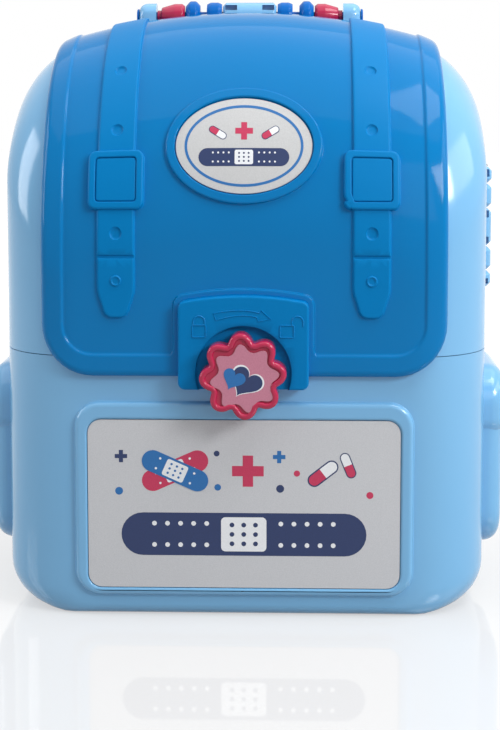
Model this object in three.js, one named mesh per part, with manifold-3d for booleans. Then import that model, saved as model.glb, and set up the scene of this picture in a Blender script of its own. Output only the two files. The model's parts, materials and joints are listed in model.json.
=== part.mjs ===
// Toy doctor case, shaped like a small school satchel and moulded in plastic.
// Millimetres, +Z up, +X to the viewer's right, the front faces -Y.
// The origin is on the table, under the middle of the case.
//
// A rear shell and a lower front shell are screwed together. The upper front is a door on a
// barrel hinge at the right side. The door carries the decorated flap, and the flap carries a
// quarter-turn knob whose key passes a slot in the lower front shell and turns behind its wall.
import * as THREE from 'three';
import { mergeVertices } from 'three/addons/utils/BufferGeometryUtils.js';
import Module from 'manifold-3d';

const wasm = await Module();
wasm.setup();

// Clearances and overruns
const partGap = 0.35; // between two mouldings that meet
const fitGap = 0.3; // around a pin, peg or seated piece
const overrun = 1; // how far a cutting tool passes the face that it cuts
const weldTolerance = 0.0001; // vertices closer than this are one

// Case form
const caseWidth = 239; // across the parting plane
const caseDepth = 150;
const crestHeight = 290; // top of the body, under the flap
const shoulderHeight = 182; // where the front starts to curve back to the crest
const partingY = 10; // plane where the front and rear mouldings meet
const seamHeight = 127; // top edge of the lower front shell
const wall = 2.4;
const frontPlanCorner = 38; // vertical edges, seen from above
const rearPlanCorner = 26;
const rearTopRadius = 45; // top rear edge, seen from the side
const baseEdgeRadius = 6;
const topCornerRadius = 50; // seen from the front
const baseCornerRadius = 20;
const archRadius = 320; // slight arch of the top, seen from the front
const sideDraftShare = 0.02; // the sides lean in away from the parting plane
const frontCornerShare = 0.45; // corner radius left at the flat front, as a share
const frontSteps = 9;
const rearSteps = 6;
const archSteps = 3;
const topCornerSteps = 5;
const baseCornerSteps = 4;

// Lip that centres the front mouldings on the rear shell
const lipThickness = 1.2;
const lipReach = 2.4;
const lipRoot = 3;

// Front flap: heights are measured out from the case form
const flapBack = 0.4;
const panelHeight = 3.6;
const borderHeight = 4.6;
const strapHeight = 5.2;
const buckleHeight = 6.6;
const buckleInsetHeight = 5.9;
const ringHeight = 5.4;
const flapHalfWidth = 97;
const flapOverlap = 9; // the flap reaches below the seam
const flapCorner = 25;
const borderWidth = 11;
const borderInnerCorner = 14;

// Straps and buckles on the flap
const strapCentre = 60.6;
const strapWidth = 17.7;
const strapRise = 19.3; // from the seam to the strap's end
const strapTail = 12.5; // length of the rounded end
const strapGrooveRise = 29.1; // above the strap's end
const strapGrooveWidth = 1.6;
const buckleWidth = 26.4;
const buckleLength = 27.1;
const buckleMiddleShare = 0.269; // of the rise from the shoulder to the crest
const buckleCorner = 3.8;
const buckleFrame = 3.4;
const buckleFrameCorner = 1.6;
const dimpleHeightShares = [0.042, 0.484, 0.7435]; // of the same rise
const dimpleRadius = 2.7;
const studRise = 17.7; // above the strap's end
const studRadius = 2.4;
const dimpleDepth = 0.8;

// Oval badge and its moulded ring
const ovalHeightShare = 0.4195; // of the same rise
const ringHalfWidth = 37.2;
const ringHalfHeight = 27;
const ringWall = 4.2;
const badgeThickness = 0.7;
const badgeMargin = 0.6;

// Lock plate on the flap
const lockDrop = 6.7; // from the seam to the knob's axis
const plateHalfWidth = 31;
const plateDrop = 14.5; // from the seam to the plate's bottom
const plateRise = 27.4; // from the seam to the ends of the plate's top edge
const plateArch = 2.8; // rise of the plate's top edge in the middle
const plateCorner = 3.2;
const plateRim = 2.6;
const plateHeight = 9;
const recessRadius = 22.6;
const recessFloorHeight = 6.2;
const recessFloorWall = 2;

// Knob, key and their screw
const knobPetals = 8;
const petalRadius = 8;
const petalCentre = 12.6;
const petalTurn = THREE.MathUtils.degToRad(4); // the petals stand a little off the axes
const petalSteps = 4;
const knobLength = 11;
const knobBackHeight = 7; // from the case form to the knob's back
const knobEdge = 1.6;
const knobDish = 1.4;
const knobRim = 3.4;
const knobBearing = 4.2;
const knobBearingEnd = 3.7;
const knobSinkRadius = 12.5;
const knobSinkDepth = 4;
const stickerThickness = 0.6;
const stickerWave = 2.3;
const stickerReachShare = 0.95;
const stickerTurn = THREE.MathUtils.degToRad(7.5);
const stickerSteps = 6; // per point of the sheet
const washerRadius = 8;
const washerThickness = 1;
const keyLength = 14;
const keyWidth = 5;
const keyThickness = 3;
const keyStem = 2.6;
const keyGap = 0.9; // running gap between the key and the wall
const slotClearance = 0.6;
const swingClearance = 0.9;

// Barrel hinge at the right side
const hingeOffset = 2.4; // axis outside the case's side
const knuckleRadius = 4.4;
const knuckleChamfer = 1.4;
const hingeRise = 3.9; // its middle above the middle of the door's straight side
const middleKnuckle = 19.4;
const doorKnuckle = 12.2;
const endKnuckle = 8.4;
const knuckleGap = 0.5;
const pinRadius = 1.25;
const pinHead = 2.4;
const pinHeadThickness = 1;
const pinFloor = 1.4;
const leafThickness = 1.5;
const leafReach = 16;
const leafMargin = 3;

// Raised frame and label on the lower front
const frameHalfWidth = 81.3;
const frameBottom = 10.5;
const frameDrop = 21.7; // from the seam to the frame's top
const frameHeight = 2.6;
const frameCorner = 12;
const labelSideMargin = 6.3; // inside the frame
const labelBottomMargin = 4.2;
const labelTopMargin = 8.6;
const labelCorner = 6.5;
const labelThickness = 0.8;
const labelRecess = 1.6;

// Side pockets
const pocketFront = -36;
const pocketRear = 44;
const pocketBottom = 24;
const pocketDrop = 13; // from the seam to the pocket's top
const pocketBulge = 9.5;
const pocketFlapBulge = 11;
const pocketFlapLength = 33;
const pocketFlapMargin = 1.4;
const pocketCorner = 18;
const pocketRound = 8;
const pocketWall = 2.2;
const pegRadius = 3;
const pegReach = 3.6; // past the inner face of the wall
const pegInset = 22;

// Carrying handle in a hand well
const handleY = 26;
const handleRise = 2.4; // axis of the rod above the crest
const wellHalfWidth = 49;
const wellRear = 57;
const wellDepth = 40; // below the crest
const wellCorner = 7;
const lugWidth = 9;
const lugRadius = 6.8;
const lugFlare = 3; // at the foot, to each side
const lugRoot = 24.5; // below the crest
const rodRadius = 2.4;
const rodHead = 4.2;
const rodHeadThickness = 1.4;
const capBore = 4;
const beadClearance = 0.4;
const gripHalfLength = 14;
const gripRadius = 7.2;
const gripSlotStart = 6.8;
const gripSlotEnd = 12.4;
const gripSlotDepth = 1.6;
const gripSlotHeight = 2.6;
const gripEdge = 1.6;
const innerBead = { start: 14.6, length: 7.9, radius: 7.3, edge: 1.6 };
const blueBead = { start: 26, length: 7.6, radius: 8, edge: 2.4 };
const crimsonBead = { start: 34.1, length: 12.4, radius: 6.6, endRadius: 4.6, neck: 3.2 };

// Screws
const screwShank = 1.2;
const headTopShare = 0.7; // radius left at the top of a rounded head
const headRimShare = 0.5; // height of its upright rim
const towerRadius = 4.5;
const towerX = 99;
const lowTowerHeight = 17;
const highTowerDrop = 19; // from the seam
const towerWeb = 2;
const caseScrewHead = 3.1;
const caseScrewHeadHeight = 2.4;
const caseScrewSeat = 5; // length of tower between the parting plane and the head
const caseScrewBite = 12;
const flapScrewHead = 5.2;
const flapScrewHeadHeight = 1.6;
const flapScrewBite = 4.2;
const flapBossRadius = 3.4;
const flapBossProud = 1.2;
const lowerFlapScrewRise = 25; // above the seam
const upperFlapScrewY = -4;
const knobScrewHead = 2.4;
const knobScrewHeadHeight = 1.8;
const knobScrewBite = 8;
const knobBoreSpare = 5; // how far the knob's bore runs past the screw
const screwSegments = 10;

// Derived places
const frontFace = -caseDepth / 2;
const rearFace = caseDepth / 2;
const halfWidth = caseWidth / 2;
const hingeX = halfWidth + hingeOffset;
const farReach = caseWidth + crestHeight;
const flapBottom = seamHeight - flapOverlap;
const strapEnd = seamHeight + strapRise;
const strapGrooveHeight = strapEnd + strapGrooveRise;
const studHeight = strapEnd + studRise;
const lockHeight = seamHeight - lockDrop;
const plateBottom = seamHeight - plateDrop;
const plateShoulder = seamHeight + plateRise;
const frameTop = seamHeight - frameDrop;
const labelHalfWidth = frameHalfWidth - labelSideMargin;
const labelBottom = frameBottom + labelBottomMargin;
const labelTop = frameTop - labelTopMargin;
const pocketTop = seamHeight - pocketDrop;
const pocketFlapBottom = pocketTop - pocketFlapLength;
const pegHeight = (pocketBottom + pocketTop) / 2;
const towerHeights = [lowTowerHeight, seamHeight - highTowerDrop];
const lowerFlapScrewHeight = seamHeight + lowerFlapScrewRise;
const frontRise = crestHeight - shoulderHeight;
const ovalHeight = shoulderHeight + ovalHeightShare * frontRise;
const dimpleHeights = dimpleHeightShares.map((share) => shoulderHeight + share * frontRise);
const buckleBottom = shoulderHeight + buckleMiddleShare * frontRise - buckleLength / 2;
const buckleTop = buckleBottom + buckleLength;
const handleHeight = crestHeight + handleRise;
const wellFloor = crestHeight - wellDepth;

// Colours
const bodyBlue = { color: 0x7db9e8, roughness: 0.32, metalness: 0 };
const flapBlue = { color: 0x0a7cc8, roughness: 0.28, metalness: 0 };
const crimson = { color: 0xcf2458, roughness: 0.25, metalness: 0 };
const handleBlue = { color: 0x0066c0, roughness: 0.3, metalness: 0 };
const innerGrey = { color: 0xd8dde2, roughness: 0.5, metalness: 0 };
const sheetGrey = { color: 0xc4c6c9, roughness: 0.4, metalness: 0 };
const stickerPink = { color: 0xd0788f, roughness: 0.4, metalness: 0 };
const zincSteel = { color: 0xa9adb2, roughness: 0.35, metalness: 1 };

// Solids from geometry
function toSolid(geometry) {
  const bare = geometry.clone();
  for (const name of Object.keys(bare.attributes)) {
    if (name !== 'position') bare.deleteAttribute(name);
  }
  const merged = mergeVertices(bare, weldTolerance);
  const vertProperties = new Float32Array(merged.attributes.position.array);
  const corner = (i) => new THREE.Vector3().fromArray(vertProperties, 3 * i);
  const triangles = [];
  let volume = 0;
  for (let i = 0; i < merged.index.count; i += 3) {
    const [a, b, c] = merged.index.array.subarray(i, i + 3);
    if (a === b || b === c || c === a) continue;
    triangles.push([a, b, c]);
    volume += corner(a).dot(corner(b).cross(corner(c)));
  }
  const outward = volume < 0 ? triangles.map(([a, b, c]) => [a, c, b]) : triangles;
  const triVerts = new Uint32Array(outward.flat());
  return new wasm.Manifold(new wasm.Mesh({ numProp: 3, vertProperties, triVerts }));
}

function toGeometry(solid) {
  const mesh = solid.getMesh();
  const geometry = new THREE.BufferGeometry();
  geometry.setAttribute('position', new THREE.BufferAttribute(mesh.vertProperties, 3));
  geometry.setIndex(new THREE.BufferAttribute(mesh.triVerts, 1));
  geometry.computeVertexNormals();
  return geometry;
}

function joined(...solids) {
  return solids.reduce((whole, next) => whole.add(next));
}

function block(x0, x1, y0, y1, z0, z1) {
  const geometry = new THREE.BoxGeometry(x1 - x0, y1 - y0, z1 - z0);
  return toSolid(geometry.translate((x0 + x1) / 2, (y0 + y1) / 2, (z0 + z1) / 2));
}

// Prisms: the outline is drawn in two axes and run along the third
const plainPrism = { bevelEnabled: false, curveSegments: 3 };
const smallCorners = { curveSegments: 1 };
const ovalEdge = { curveSegments: 12 };
const lugEdge = { curveSegments: 5 };

function prismAlongY(shape, y0, y1, options = {}) {
  const geometry = new THREE.ExtrudeGeometry(shape, { ...plainPrism, ...options, depth: y1 - y0 });
  return toSolid(geometry.rotateX(Math.PI / 2).translate(0, y1, 0));
}

function prismAlongZ(shape, z0, z1) {
  const geometry = new THREE.ExtrudeGeometry(shape, { ...plainPrism, depth: z1 - z0 });
  return toSolid(geometry.translate(0, 0, z0));
}

function prismAlongX(shape, x0, x1, options = {}) {
  const geometry = new THREE.ExtrudeGeometry(shape, { ...plainPrism, ...options, depth: x1 - x0 });
  const axes = new THREE.Matrix4().makeBasis(
    new THREE.Vector3(0, 1, 0),
    new THREE.Vector3(0, 0, 1),
    new THREE.Vector3(1, 0, 0),
  );
  return toSolid(geometry.applyMatrix4(axes).translate(x0, 0, 0));
}

// Turned pieces: profile points are [radius, distance along the axis]
function turned(profile, segments, axis, x, y, z) {
  const points = profile.map(([radius, along]) => new THREE.Vector2(radius, along));
  const geometry = new THREE.LatheGeometry(points, segments);
  if (axis === 'x') geometry.rotateZ(-Math.PI / 2);
  if (axis === 'z') geometry.rotateX(Math.PI / 2);
  return toSolid(geometry.translate(x, y, z));
}

function cylinder(radius, from, to, segments, axis, x, y, z) {
  const profile = [[0, from], [radius, from], [radius, to], [0, to]];
  return turned(profile, segments, axis, x, y, z);
}

// Outlines
function roundedRectangle(x0, x1, z0, z1, topRadius, bottomRadius) {
  const shape = new THREE.Shape();
  shape.absarc(x1 - bottomRadius, z0 + bottomRadius, bottomRadius, -Math.PI / 2, 0);
  shape.absarc(x1 - topRadius, z1 - topRadius, topRadius, 0, Math.PI / 2);
  shape.absarc(x0 + topRadius, z1 - topRadius, topRadius, Math.PI / 2, Math.PI);
  shape.absarc(x0 + bottomRadius, z0 + bottomRadius, bottomRadius, Math.PI, 1.5 * Math.PI);
  shape.closePath();
  return shape;
}

function ellipse(halfWide, halfHigh, height) {
  const shape = new THREE.Shape();
  shape.absellipse(0, height, halfWide, halfHigh, 0, 2 * Math.PI);
  return shape;
}

// Case form: rounded sections from front to rear, drawn in by an inset or out by a height
function roundOff(distance, radius) {
  const left = Math.min(Math.max(radius - distance, 0), radius);
  return radius - Math.sqrt(radius ** 2 - left ** 2);
}

function caseSection(y, inset) {
  const front = y <= partingY;
  const depth = front ? y - frontFace - inset : rearFace - inset - y;
  const planCorner = (front ? frontPlanCorner : rearPlanCorner) - inset;
  const drawnIn = roundOff(depth, planCorner);
  const side = halfWidth - inset - sideDraftShare * Math.abs(y - partingY) - drawnIn;
  const base = inset + roundOff(depth, baseEdgeRadius - inset);
  let top = crestHeight - inset - roundOff(depth, rearTopRadius - inset);
  if (front) {
    const run = partingY - frontFace - inset;
    const rise = Math.sqrt(Math.max(0, 1 - ((run - depth) / run) ** 2));
    top = shoulderHeight + (crestHeight - inset - shoulderHeight) * rise;
  }
  const cornerShare = 1 - (1 - frontCornerShare) * (drawnIn / planCorner);
  const topCorner = (topCornerRadius - inset) * cornerShare;
  const baseCorner = (baseCornerRadius - inset) * cornerShare;
  const arch = archRadius - inset;
  const cornerX = side - topCorner;
  const cornerRise = Math.sqrt((arch - topCorner) ** 2 - cornerX ** 2);
  const lean = Math.atan2(cornerX, cornerRise);
  const right = [];
  for (let i = 0; i <= baseCornerSteps; i += 1) {
    const angle = (-Math.PI / 2) * (1 - i / baseCornerSteps);
    const x = side - baseCorner + baseCorner * Math.cos(angle);
    right.push([x, base + baseCorner + baseCorner * Math.sin(angle)]);
  }
  for (let i = 0; i <= topCornerSteps; i += 1) {
    const angle = (Math.PI / 2 - lean) * (i / topCornerSteps);
    const x = cornerX + topCorner * Math.cos(angle);
    right.push([x, top - arch + cornerRise + topCorner * Math.sin(angle)]);
  }
  for (let i = 1; i < archSteps; i += 1) {
    const angle = lean * (1 - i / archSteps);
    right.push([arch * Math.sin(angle), top - arch + arch * Math.cos(angle)]);
  }
  const left = right.map(([x, z]) => [-x, z]).reverse();
  return [...right, [0, top], ...left].map(([x, z]) => new THREE.Vector3(x, y, z));
}

function loft(sections) {
  const count = sections[0].length;
  const ends = [sections[0], sections[sections.length - 1]];
  const caps = ends.map((ring) => ring.reduce((sum, p) => sum.clone().add(p)).divideScalar(count));
  const points = [...sections.flat(), ...caps];
  const lastRing = (sections.length - 1) * count;
  const frontCap = points.length - 2;
  const rearCap = points.length - 1;
  const index = [];
  for (let i = 0; i < count; i += 1) {
    const j = (i + 1) % count;
    for (let ring = 0; ring < lastRing; ring += count) {
      index.push(ring + i, ring + j, ring + count + j);
      index.push(ring + i, ring + count + j, ring + count + i);
    }
    index.push(frontCap, j, i);
    index.push(rearCap, lastRing + i, lastRing + j);
  }
  const geometry = new THREE.BufferGeometry().setFromPoints(points);
  geometry.setIndex(index);
  return toSolid(geometry);
}

const formCache = new Map();

function caseForm(inset) {
  if (formCache.has(inset)) return formCache.get(inset);
  const front = frontFace + inset;
  const rear = rearFace - inset;
  const frontRun = partingY - front;
  const rearRun = rearTopRadius - inset;
  const places = [];
  for (let i = 0; i <= frontSteps; i += 1) {
    places.push(front + frontRun * (1 - Math.cos((Math.PI / 2) * (i / frontSteps))));
  }
  for (let i = rearSteps; i >= 0; i -= 1) {
    places.push(rear - rearRun * (1 - Math.cos((Math.PI / 2) * (i / rearSteps))));
  }
  const form = loft(places.map((y) => caseSection(y, inset)));
  formCache.set(inset, form);
  return form;
}

function skin(fromHeight, toHeight) {
  return caseForm(-toHeight).subtract(caseForm(-fromHeight));
}

// Screws: the head's inner face is at zero and the shank runs down the axis
function screwProfile(head, headHeight, shank, length) {
  return [[0, -length], [shank, -length], [shank, 0], [head, 0],
    [head, headHeight * headRimShare], [head * headTopShare, headHeight], [0, headHeight]];
}

function flipped(profile) {
  return profile.map(([radius, along]) => [radius, -along]).reverse();
}

// Height at which the straight side passes into the top corner, at the parting plane
const sideTop = crestHeight - archRadius
  + Math.sqrt((archRadius - topCornerRadius) ** 2 - (halfWidth - topCornerRadius) ** 2);
const doorBottom = seamHeight + partGap;
const hingeMiddle = (doorBottom + sideTop) / 2 + hingeRise;

// Hinge layout: the middle and end knuckles belong to the rear shell, the two others to the door
const doorKnuckleBottom = middleKnuckle / 2 + knuckleGap;
const endKnuckleBottom = doorKnuckleBottom + doorKnuckle + knuckleGap;
const hingeHalfLength = endKnuckleBottom + endKnuckle;
const rearKnuckles = [
  [-middleKnuckle / 2, middleKnuckle / 2],
  [endKnuckleBottom, hingeHalfLength],
  [-hingeHalfLength, -endKnuckleBottom],
];
const doorKnuckles = [
  [doorKnuckleBottom, doorKnuckleBottom + doorKnuckle],
  [-doorKnuckleBottom - doorKnuckle, -doorKnuckleBottom],
];

function knuckle([from, to]) {
  const neck = knuckleRadius - knuckleChamfer;
  const profile = [[0, from], [neck, from], [knuckleRadius, from + knuckleChamfer],
    [knuckleRadius, to - knuckleChamfer], [neck, to], [0, to]];
  return turned(profile, 14, 'z', hingeX, partingY, hingeMiddle);
}

function knuckleRoom([from, to]) {
  const radius = knuckleRadius + knuckleGap;
  return cylinder(radius, from - knuckleGap, to + knuckleGap, 14, 'z', hingeX, partingY, hingeMiddle);
}

// Hinge leaf: a low strip on the side wall that stiffens the knuckles' roots
function hingeLeaf(y0, y1) {
  const half = hingeHalfLength + leafMargin;
  const corner = leafMargin;
  const outline = roundedRectangle(y0, y1, hingeMiddle - half, hingeMiddle + half, corner, corner);
  const strip = prismAlongX(outline, halfWidth - wall, halfWidth + leafThickness);
  return strip.intersect(caseForm(-leafThickness));
}

function pinBore(fromZ, toZ) {
  return cylinder(pinRadius + fitGap, fromZ, toZ, 10, 'z', hingeX, partingY, hingeMiddle);
}

function pinHeadRoom() {
  const above = hingeHalfLength + leafMargin + overrun;
  const radius = pinHead + knuckleGap;
  return cylinder(radius, hingeHalfLength, above, 16, 'z', hingeX, partingY, hingeMiddle);
}

// Screw towers of the case, with webs to the side wall and the nearer floor or wall
function tower(side, height, y0, y1) {
  const x = side * towerX;
  const post = cylinder(towerRadius, y0, y1, 12, 'y', x, 0, height);
  const outer = side * halfWidth;
  const web = block(
    Math.min(x, outer), Math.max(x, outer),
    y0, y1, height - towerWeb / 2, height + towerWeb / 2,
  );
  return joined(post, web);
}

const towers = [-1, 1].flatMap((side) => towerHeights.map((height) => ({ side, height })));

// Side pockets: a soft-edged pillow that is hollow behind and held by two pegs
function pillow(grow, bulge, outerX) {
  const corner = pocketCorner + grow;
  const round = pocketRound + grow;
  const outline = roundedRectangle(
    pocketFront - grow, pocketRear + grow, pocketBottom - grow, pocketTop + grow, corner, corner,
  );
  const depth = outerX + bulge - round;
  const bevel = { bevelEnabled: true, bevelThickness: round, bevelSize: round, bevelOffset: -round };
  return prismAlongX(outline, 0, depth, { ...bevel, bevelSegments: 2 });
}

const pegPlaces = [pocketFront + pegInset, pocketRear - pegInset];
const pegEnd = halfWidth - wall - pegReach;

function sidePocket(side) {
  const flapZone = block(0, farReach, -farReach, farReach, pocketFlapBottom, farReach);
  const body = pillow(0, pocketBulge, halfWidth);
  const flap = pillow(pocketFlapMargin, pocketFlapBulge, halfWidth).intersect(flapZone);
  const inside = pillow(-pocketWall, pocketBulge - pocketWall, halfWidth);
  let pocket = joined(body, flap).subtract(inside).subtract(caseForm(-fitGap));
  for (const y of pegPlaces) {
    const root = halfWidth + pocketBulge - pocketWall / 2;
    const peg = cylinder(pegRadius, pegEnd, root, 10, 'x', 0, y, pegHeight);
    pocket = pocket.add(peg);
  }
  return side > 0 ? pocket : mirroredX(pocket);
}

function mirroredX(solid) {
  const mesh = solid.getMesh();
  const geometry = new THREE.BufferGeometry();
  geometry.setAttribute('position', new THREE.BufferAttribute(mesh.vertProperties, 3));
  geometry.setIndex(new THREE.BufferAttribute(mesh.triVerts, 1));
  geometry.scale(-1, 1, 1);
  return toSolid(geometry);
}

function pegHole(side, y) {
  const from = side > 0 ? pegEnd - overrun : -halfWidth - overrun;
  const to = side > 0 ? halfWidth + overrun : -pegEnd + overrun;
  return cylinder(pegRadius + fitGap, from, to, 10, 'x', 0, y, pegHeight);
}

// Rear shell: back half of the body with the hand well, handle lugs and hinge knuckles
function rearShell() {
  const behind = block(-farReach, farReach, partingY, farReach, -farReach, farReach);
  const outside = caseForm(0);
  let shell = outside.subtract(caseForm(wall)).intersect(behind);
  const lipOut = wall + partGap;
  const lipIn = lipOut + lipThickness;
  const tongue = caseForm(lipOut).subtract(caseForm(lipIn));
  const aboveFloor = doorBottom + wall + partGap;
  const tongueZone = block(
    -farReach, farReach, partingY - lipReach, partingY + lipRoot, aboveFloor, farReach,
  );
  const root = caseForm(wall / 2).subtract(caseForm(lipIn));
  const rootZone = block(-farReach, farReach, partingY, partingY + lipRoot, aboveFloor, farReach);
  shell = joined(shell, tongue.intersect(tongueZone), root.intersect(rootZone));
  const wellOutline = roundedRectangle(
    -wellHalfWidth - wall, wellHalfWidth + wall, partingY, wellRear + wall, wellCorner + wall, wall,
  );
  const wellBox = prismAlongZ(wellOutline, wellFloor - wall, farReach).intersect(outside);
  const hollow = roundedRectangle(
    -wellHalfWidth, wellHalfWidth, partingY + wall, wellRear, wellCorner, wellCorner / 2,
  );
  shell = shell.add(wellBox);
  for (const side of [-1, 1]) shell = shell.add(handleLug(side));
  shell = shell.subtract(prismAlongZ(hollow, wellFloor, farReach));
  const rodHole = rodRadius + fitGap;
  shell = shell.subtract(cylinder(rodHole, -farReach, farReach, 16, 'x', 0, handleY, handleHeight));
  for (const { side, height } of towers) {
    const post = tower(side, height, partingY, rearFace).intersect(caseForm(wall / 2));
    shell = shell.add(post);
    const seat = partingY + caseScrewSeat;
    const x = side * towerX;
    shell = shell.subtract(cylinder(caseScrewHead + fitGap, seat, farReach, 12, 'y', x, 0, height));
    shell = shell.subtract(cylinder(screwShank + fitGap, -farReach, farReach, 8, 'y', x, 0, height));
  }
  shell = shell.add(hingeLeaf(partingY, partingY + leafReach));
  for (const span of doorKnuckles) shell = shell.subtract(knuckleRoom(span));
  for (const span of rearKnuckles) shell = shell.add(knuckle(span));
  shell = shell.subtract(pinBore(pinFloor - hingeHalfLength, hingeHalfLength + overrun));
  shell = shell.subtract(pinHeadRoom());
  for (const side of [-1, 1]) shell = shell.subtract(pegHole(side, pegPlaces[1]));
  return shell;
}

// Handle lug: a rounded ear on each side of the hand well
function handleLug(side) {
  const foot = crestHeight - lugRoot;
  const shape = new THREE.Shape();
  shape.moveTo(handleY - lugRadius - lugFlare, foot);
  shape.absarc(handleY, handleHeight, lugRadius, Math.PI, 0, true);
  shape.lineTo(handleY + lugRadius + lugFlare, foot);
  shape.closePath();
  const inner = wellHalfWidth;
  const outer = wellHalfWidth + lugWidth;
  const ear = prismAlongX(shape, side > 0 ? inner : -outer, side > 0 ? outer : -inner, lugEdge);
  return ear.subtract(caseForm(wall / 2));
}

// Lower front shell: the bin below the door, with the label frame and the lock slot
const keyFront = frontFace + wall + keyGap;
const keyBack = keyFront + keyThickness;
const keyTravel = keyBack - frontFace;
const swingRatio = (partingY - keyBack) / (hingeX - keyLength / 2);
const slotHalfLength = keyLength / 2 + keyTravel * swingRatio + swingClearance;

function lowerFrontShell() {
  const zone = block(-farReach, farReach, -farReach, partingY - partGap, -farReach, seamHeight);
  const outside = caseForm(0);
  let shell = outside.subtract(caseForm(wall)).intersect(zone);
  const frameOutline = roundedRectangle(
    -frameHalfWidth, frameHalfWidth, frameBottom, frameTop, frameCorner, frameCorner,
  );
  const frame = prismAlongY(frameOutline, frontFace - frameHeight, frontFace + wall);
  shell = shell.add(frame.subtract(caseForm(wall / 2)));
  const labelOutline = roundedRectangle(
    -labelHalfWidth - fitGap, labelHalfWidth + fitGap, labelBottom - fitGap, labelTop + fitGap,
    labelCorner + fitGap, labelCorner + fitGap,
  );
  const labelFloor = frontFace - frameHeight + labelRecess;
  const labelRoom = prismAlongY(labelOutline, frontFace - frameHeight - overrun, labelFloor);
  shell = shell.subtract(labelRoom);
  const slotRadius = keyStem + slotClearance;
  const slotOutline = roundedRectangle(
    -slotHalfLength, slotHalfLength, lockHeight - slotRadius, lockHeight + slotRadius,
    slotRadius - fitGap, slotRadius - fitGap,
  );
  const slot = prismAlongY(slotOutline, frontFace - overrun, frontFace + wall + overrun);
  shell = shell.subtract(slot);
  for (const { side, height } of towers) {
    const x = side * towerX;
    const post = tower(side, height, frontFace, partingY - partGap).intersect(caseForm(wall / 2));
    shell = shell.add(post);
    const deep = partingY - caseScrewBite - overrun;
    shell = shell.subtract(cylinder(screwShank + fitGap, deep, farReach, 8, 'y', x, 0, height));
  }
  for (const side of [-1, 1]) shell = shell.subtract(pegHole(side, pegPlaces[0]));
  return shell;
}

function frontLabel() {
  const back = frontFace - frameHeight + labelRecess - fitGap;
  const outline = roundedRectangle(
    -labelHalfWidth, labelHalfWidth, labelBottom, labelTop, labelCorner, labelCorner,
  );
  return prismAlongY(outline, back - labelThickness, back);
}

// Door shell: a dish with its own floor, hinged at the right
const lowerScrewSeat = frontFace + wall + flapBossProud;
const upperScrewHeight = upperScrewSeat();

function upperScrewSeat() {
  const section = caseSection(upperFlapScrewY, wall);
  const top = section.reduce((best, p) => Math.max(best, p.z), 0);
  const drop = archRadius - Math.sqrt(archRadius ** 2 - (strapCentre + flapScrewHead) ** 2);
  return top - drop - flapBossProud;
}

function doorShell() {
  const zone = block(-farReach, farReach, -farReach, partingY - partGap, doorBottom, farReach);
  const outside = caseForm(0);
  let shell = outside.subtract(caseForm(wall)).intersect(zone);
  const back = partingY - partGap;
  const floorZone = block(-farReach, farReach, -farReach, back, doorBottom, doorBottom + wall);
  shell = shell.add(outside.intersect(floorZone));
  shell = shell.add(hingeLeaf(back - leafReach, back));
  for (const span of rearKnuckles) shell = shell.subtract(knuckleRoom(span));
  for (const span of doorKnuckles) shell = shell.add(knuckle(span));
  shell = shell.subtract(pinBore(-farReach, farReach)).subtract(pinHeadRoom());
  const bossHole = flapBossRadius + fitGap;
  for (const side of [-1, 1]) {
    const x = side * strapCentre;
    shell = shell.subtract(cylinder(bossHole, -farReach, 0, 12, 'y', x, 0, lowerFlapScrewHeight));
    shell = shell.subtract(cylinder(bossHole, shoulderHeight, farReach, 12, 'z', x, upperFlapScrewY, 0));
  }
  return shell;
}

// Front flap: one moulding with border, straps, buckles, badge ring and lock plate
function flapOutline(margin, corner) {
  const half = flapHalfWidth - margin;
  return roundedRectangle(-half, half, flapBottom + margin, farReach, wall, corner);
}

function strapOutline(x) {
  const half = strapWidth / 2;
  const shape = new THREE.Shape();
  shape.moveTo(x - half, farReach);
  shape.lineTo(x - half, strapEnd + strapTail);
  shape.absellipse(x, strapEnd + strapTail, half, strapTail, Math.PI, 2 * Math.PI);
  shape.lineTo(x + half, farReach);
  shape.closePath();
  return shape;
}

function platePath(grow, corner) {
  const half = plateHalfWidth + grow;
  const top = plateShoulder + grow;
  const shape = new THREE.Shape();
  shape.absarc(half - corner, plateBottom + corner, corner, -Math.PI / 2, 0);
  shape.absarc(half - corner, top - corner, corner, 0, Math.PI / 3);
  shape.quadraticCurveTo(half / 2, top + plateArch, 0, top + plateArch);
  const drop = corner * (1 - Math.sin(Math.PI / 3));
  shape.quadraticCurveTo(-half / 2, top + plateArch, -(half - corner / 2), top - drop);
  shape.absarc(-(half - corner), top - corner, corner, (2 * Math.PI) / 3, Math.PI);
  shape.absarc(-(half - corner), plateBottom + corner, corner, Math.PI, 1.5 * Math.PI);
  shape.closePath();
  return shape;
}

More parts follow.
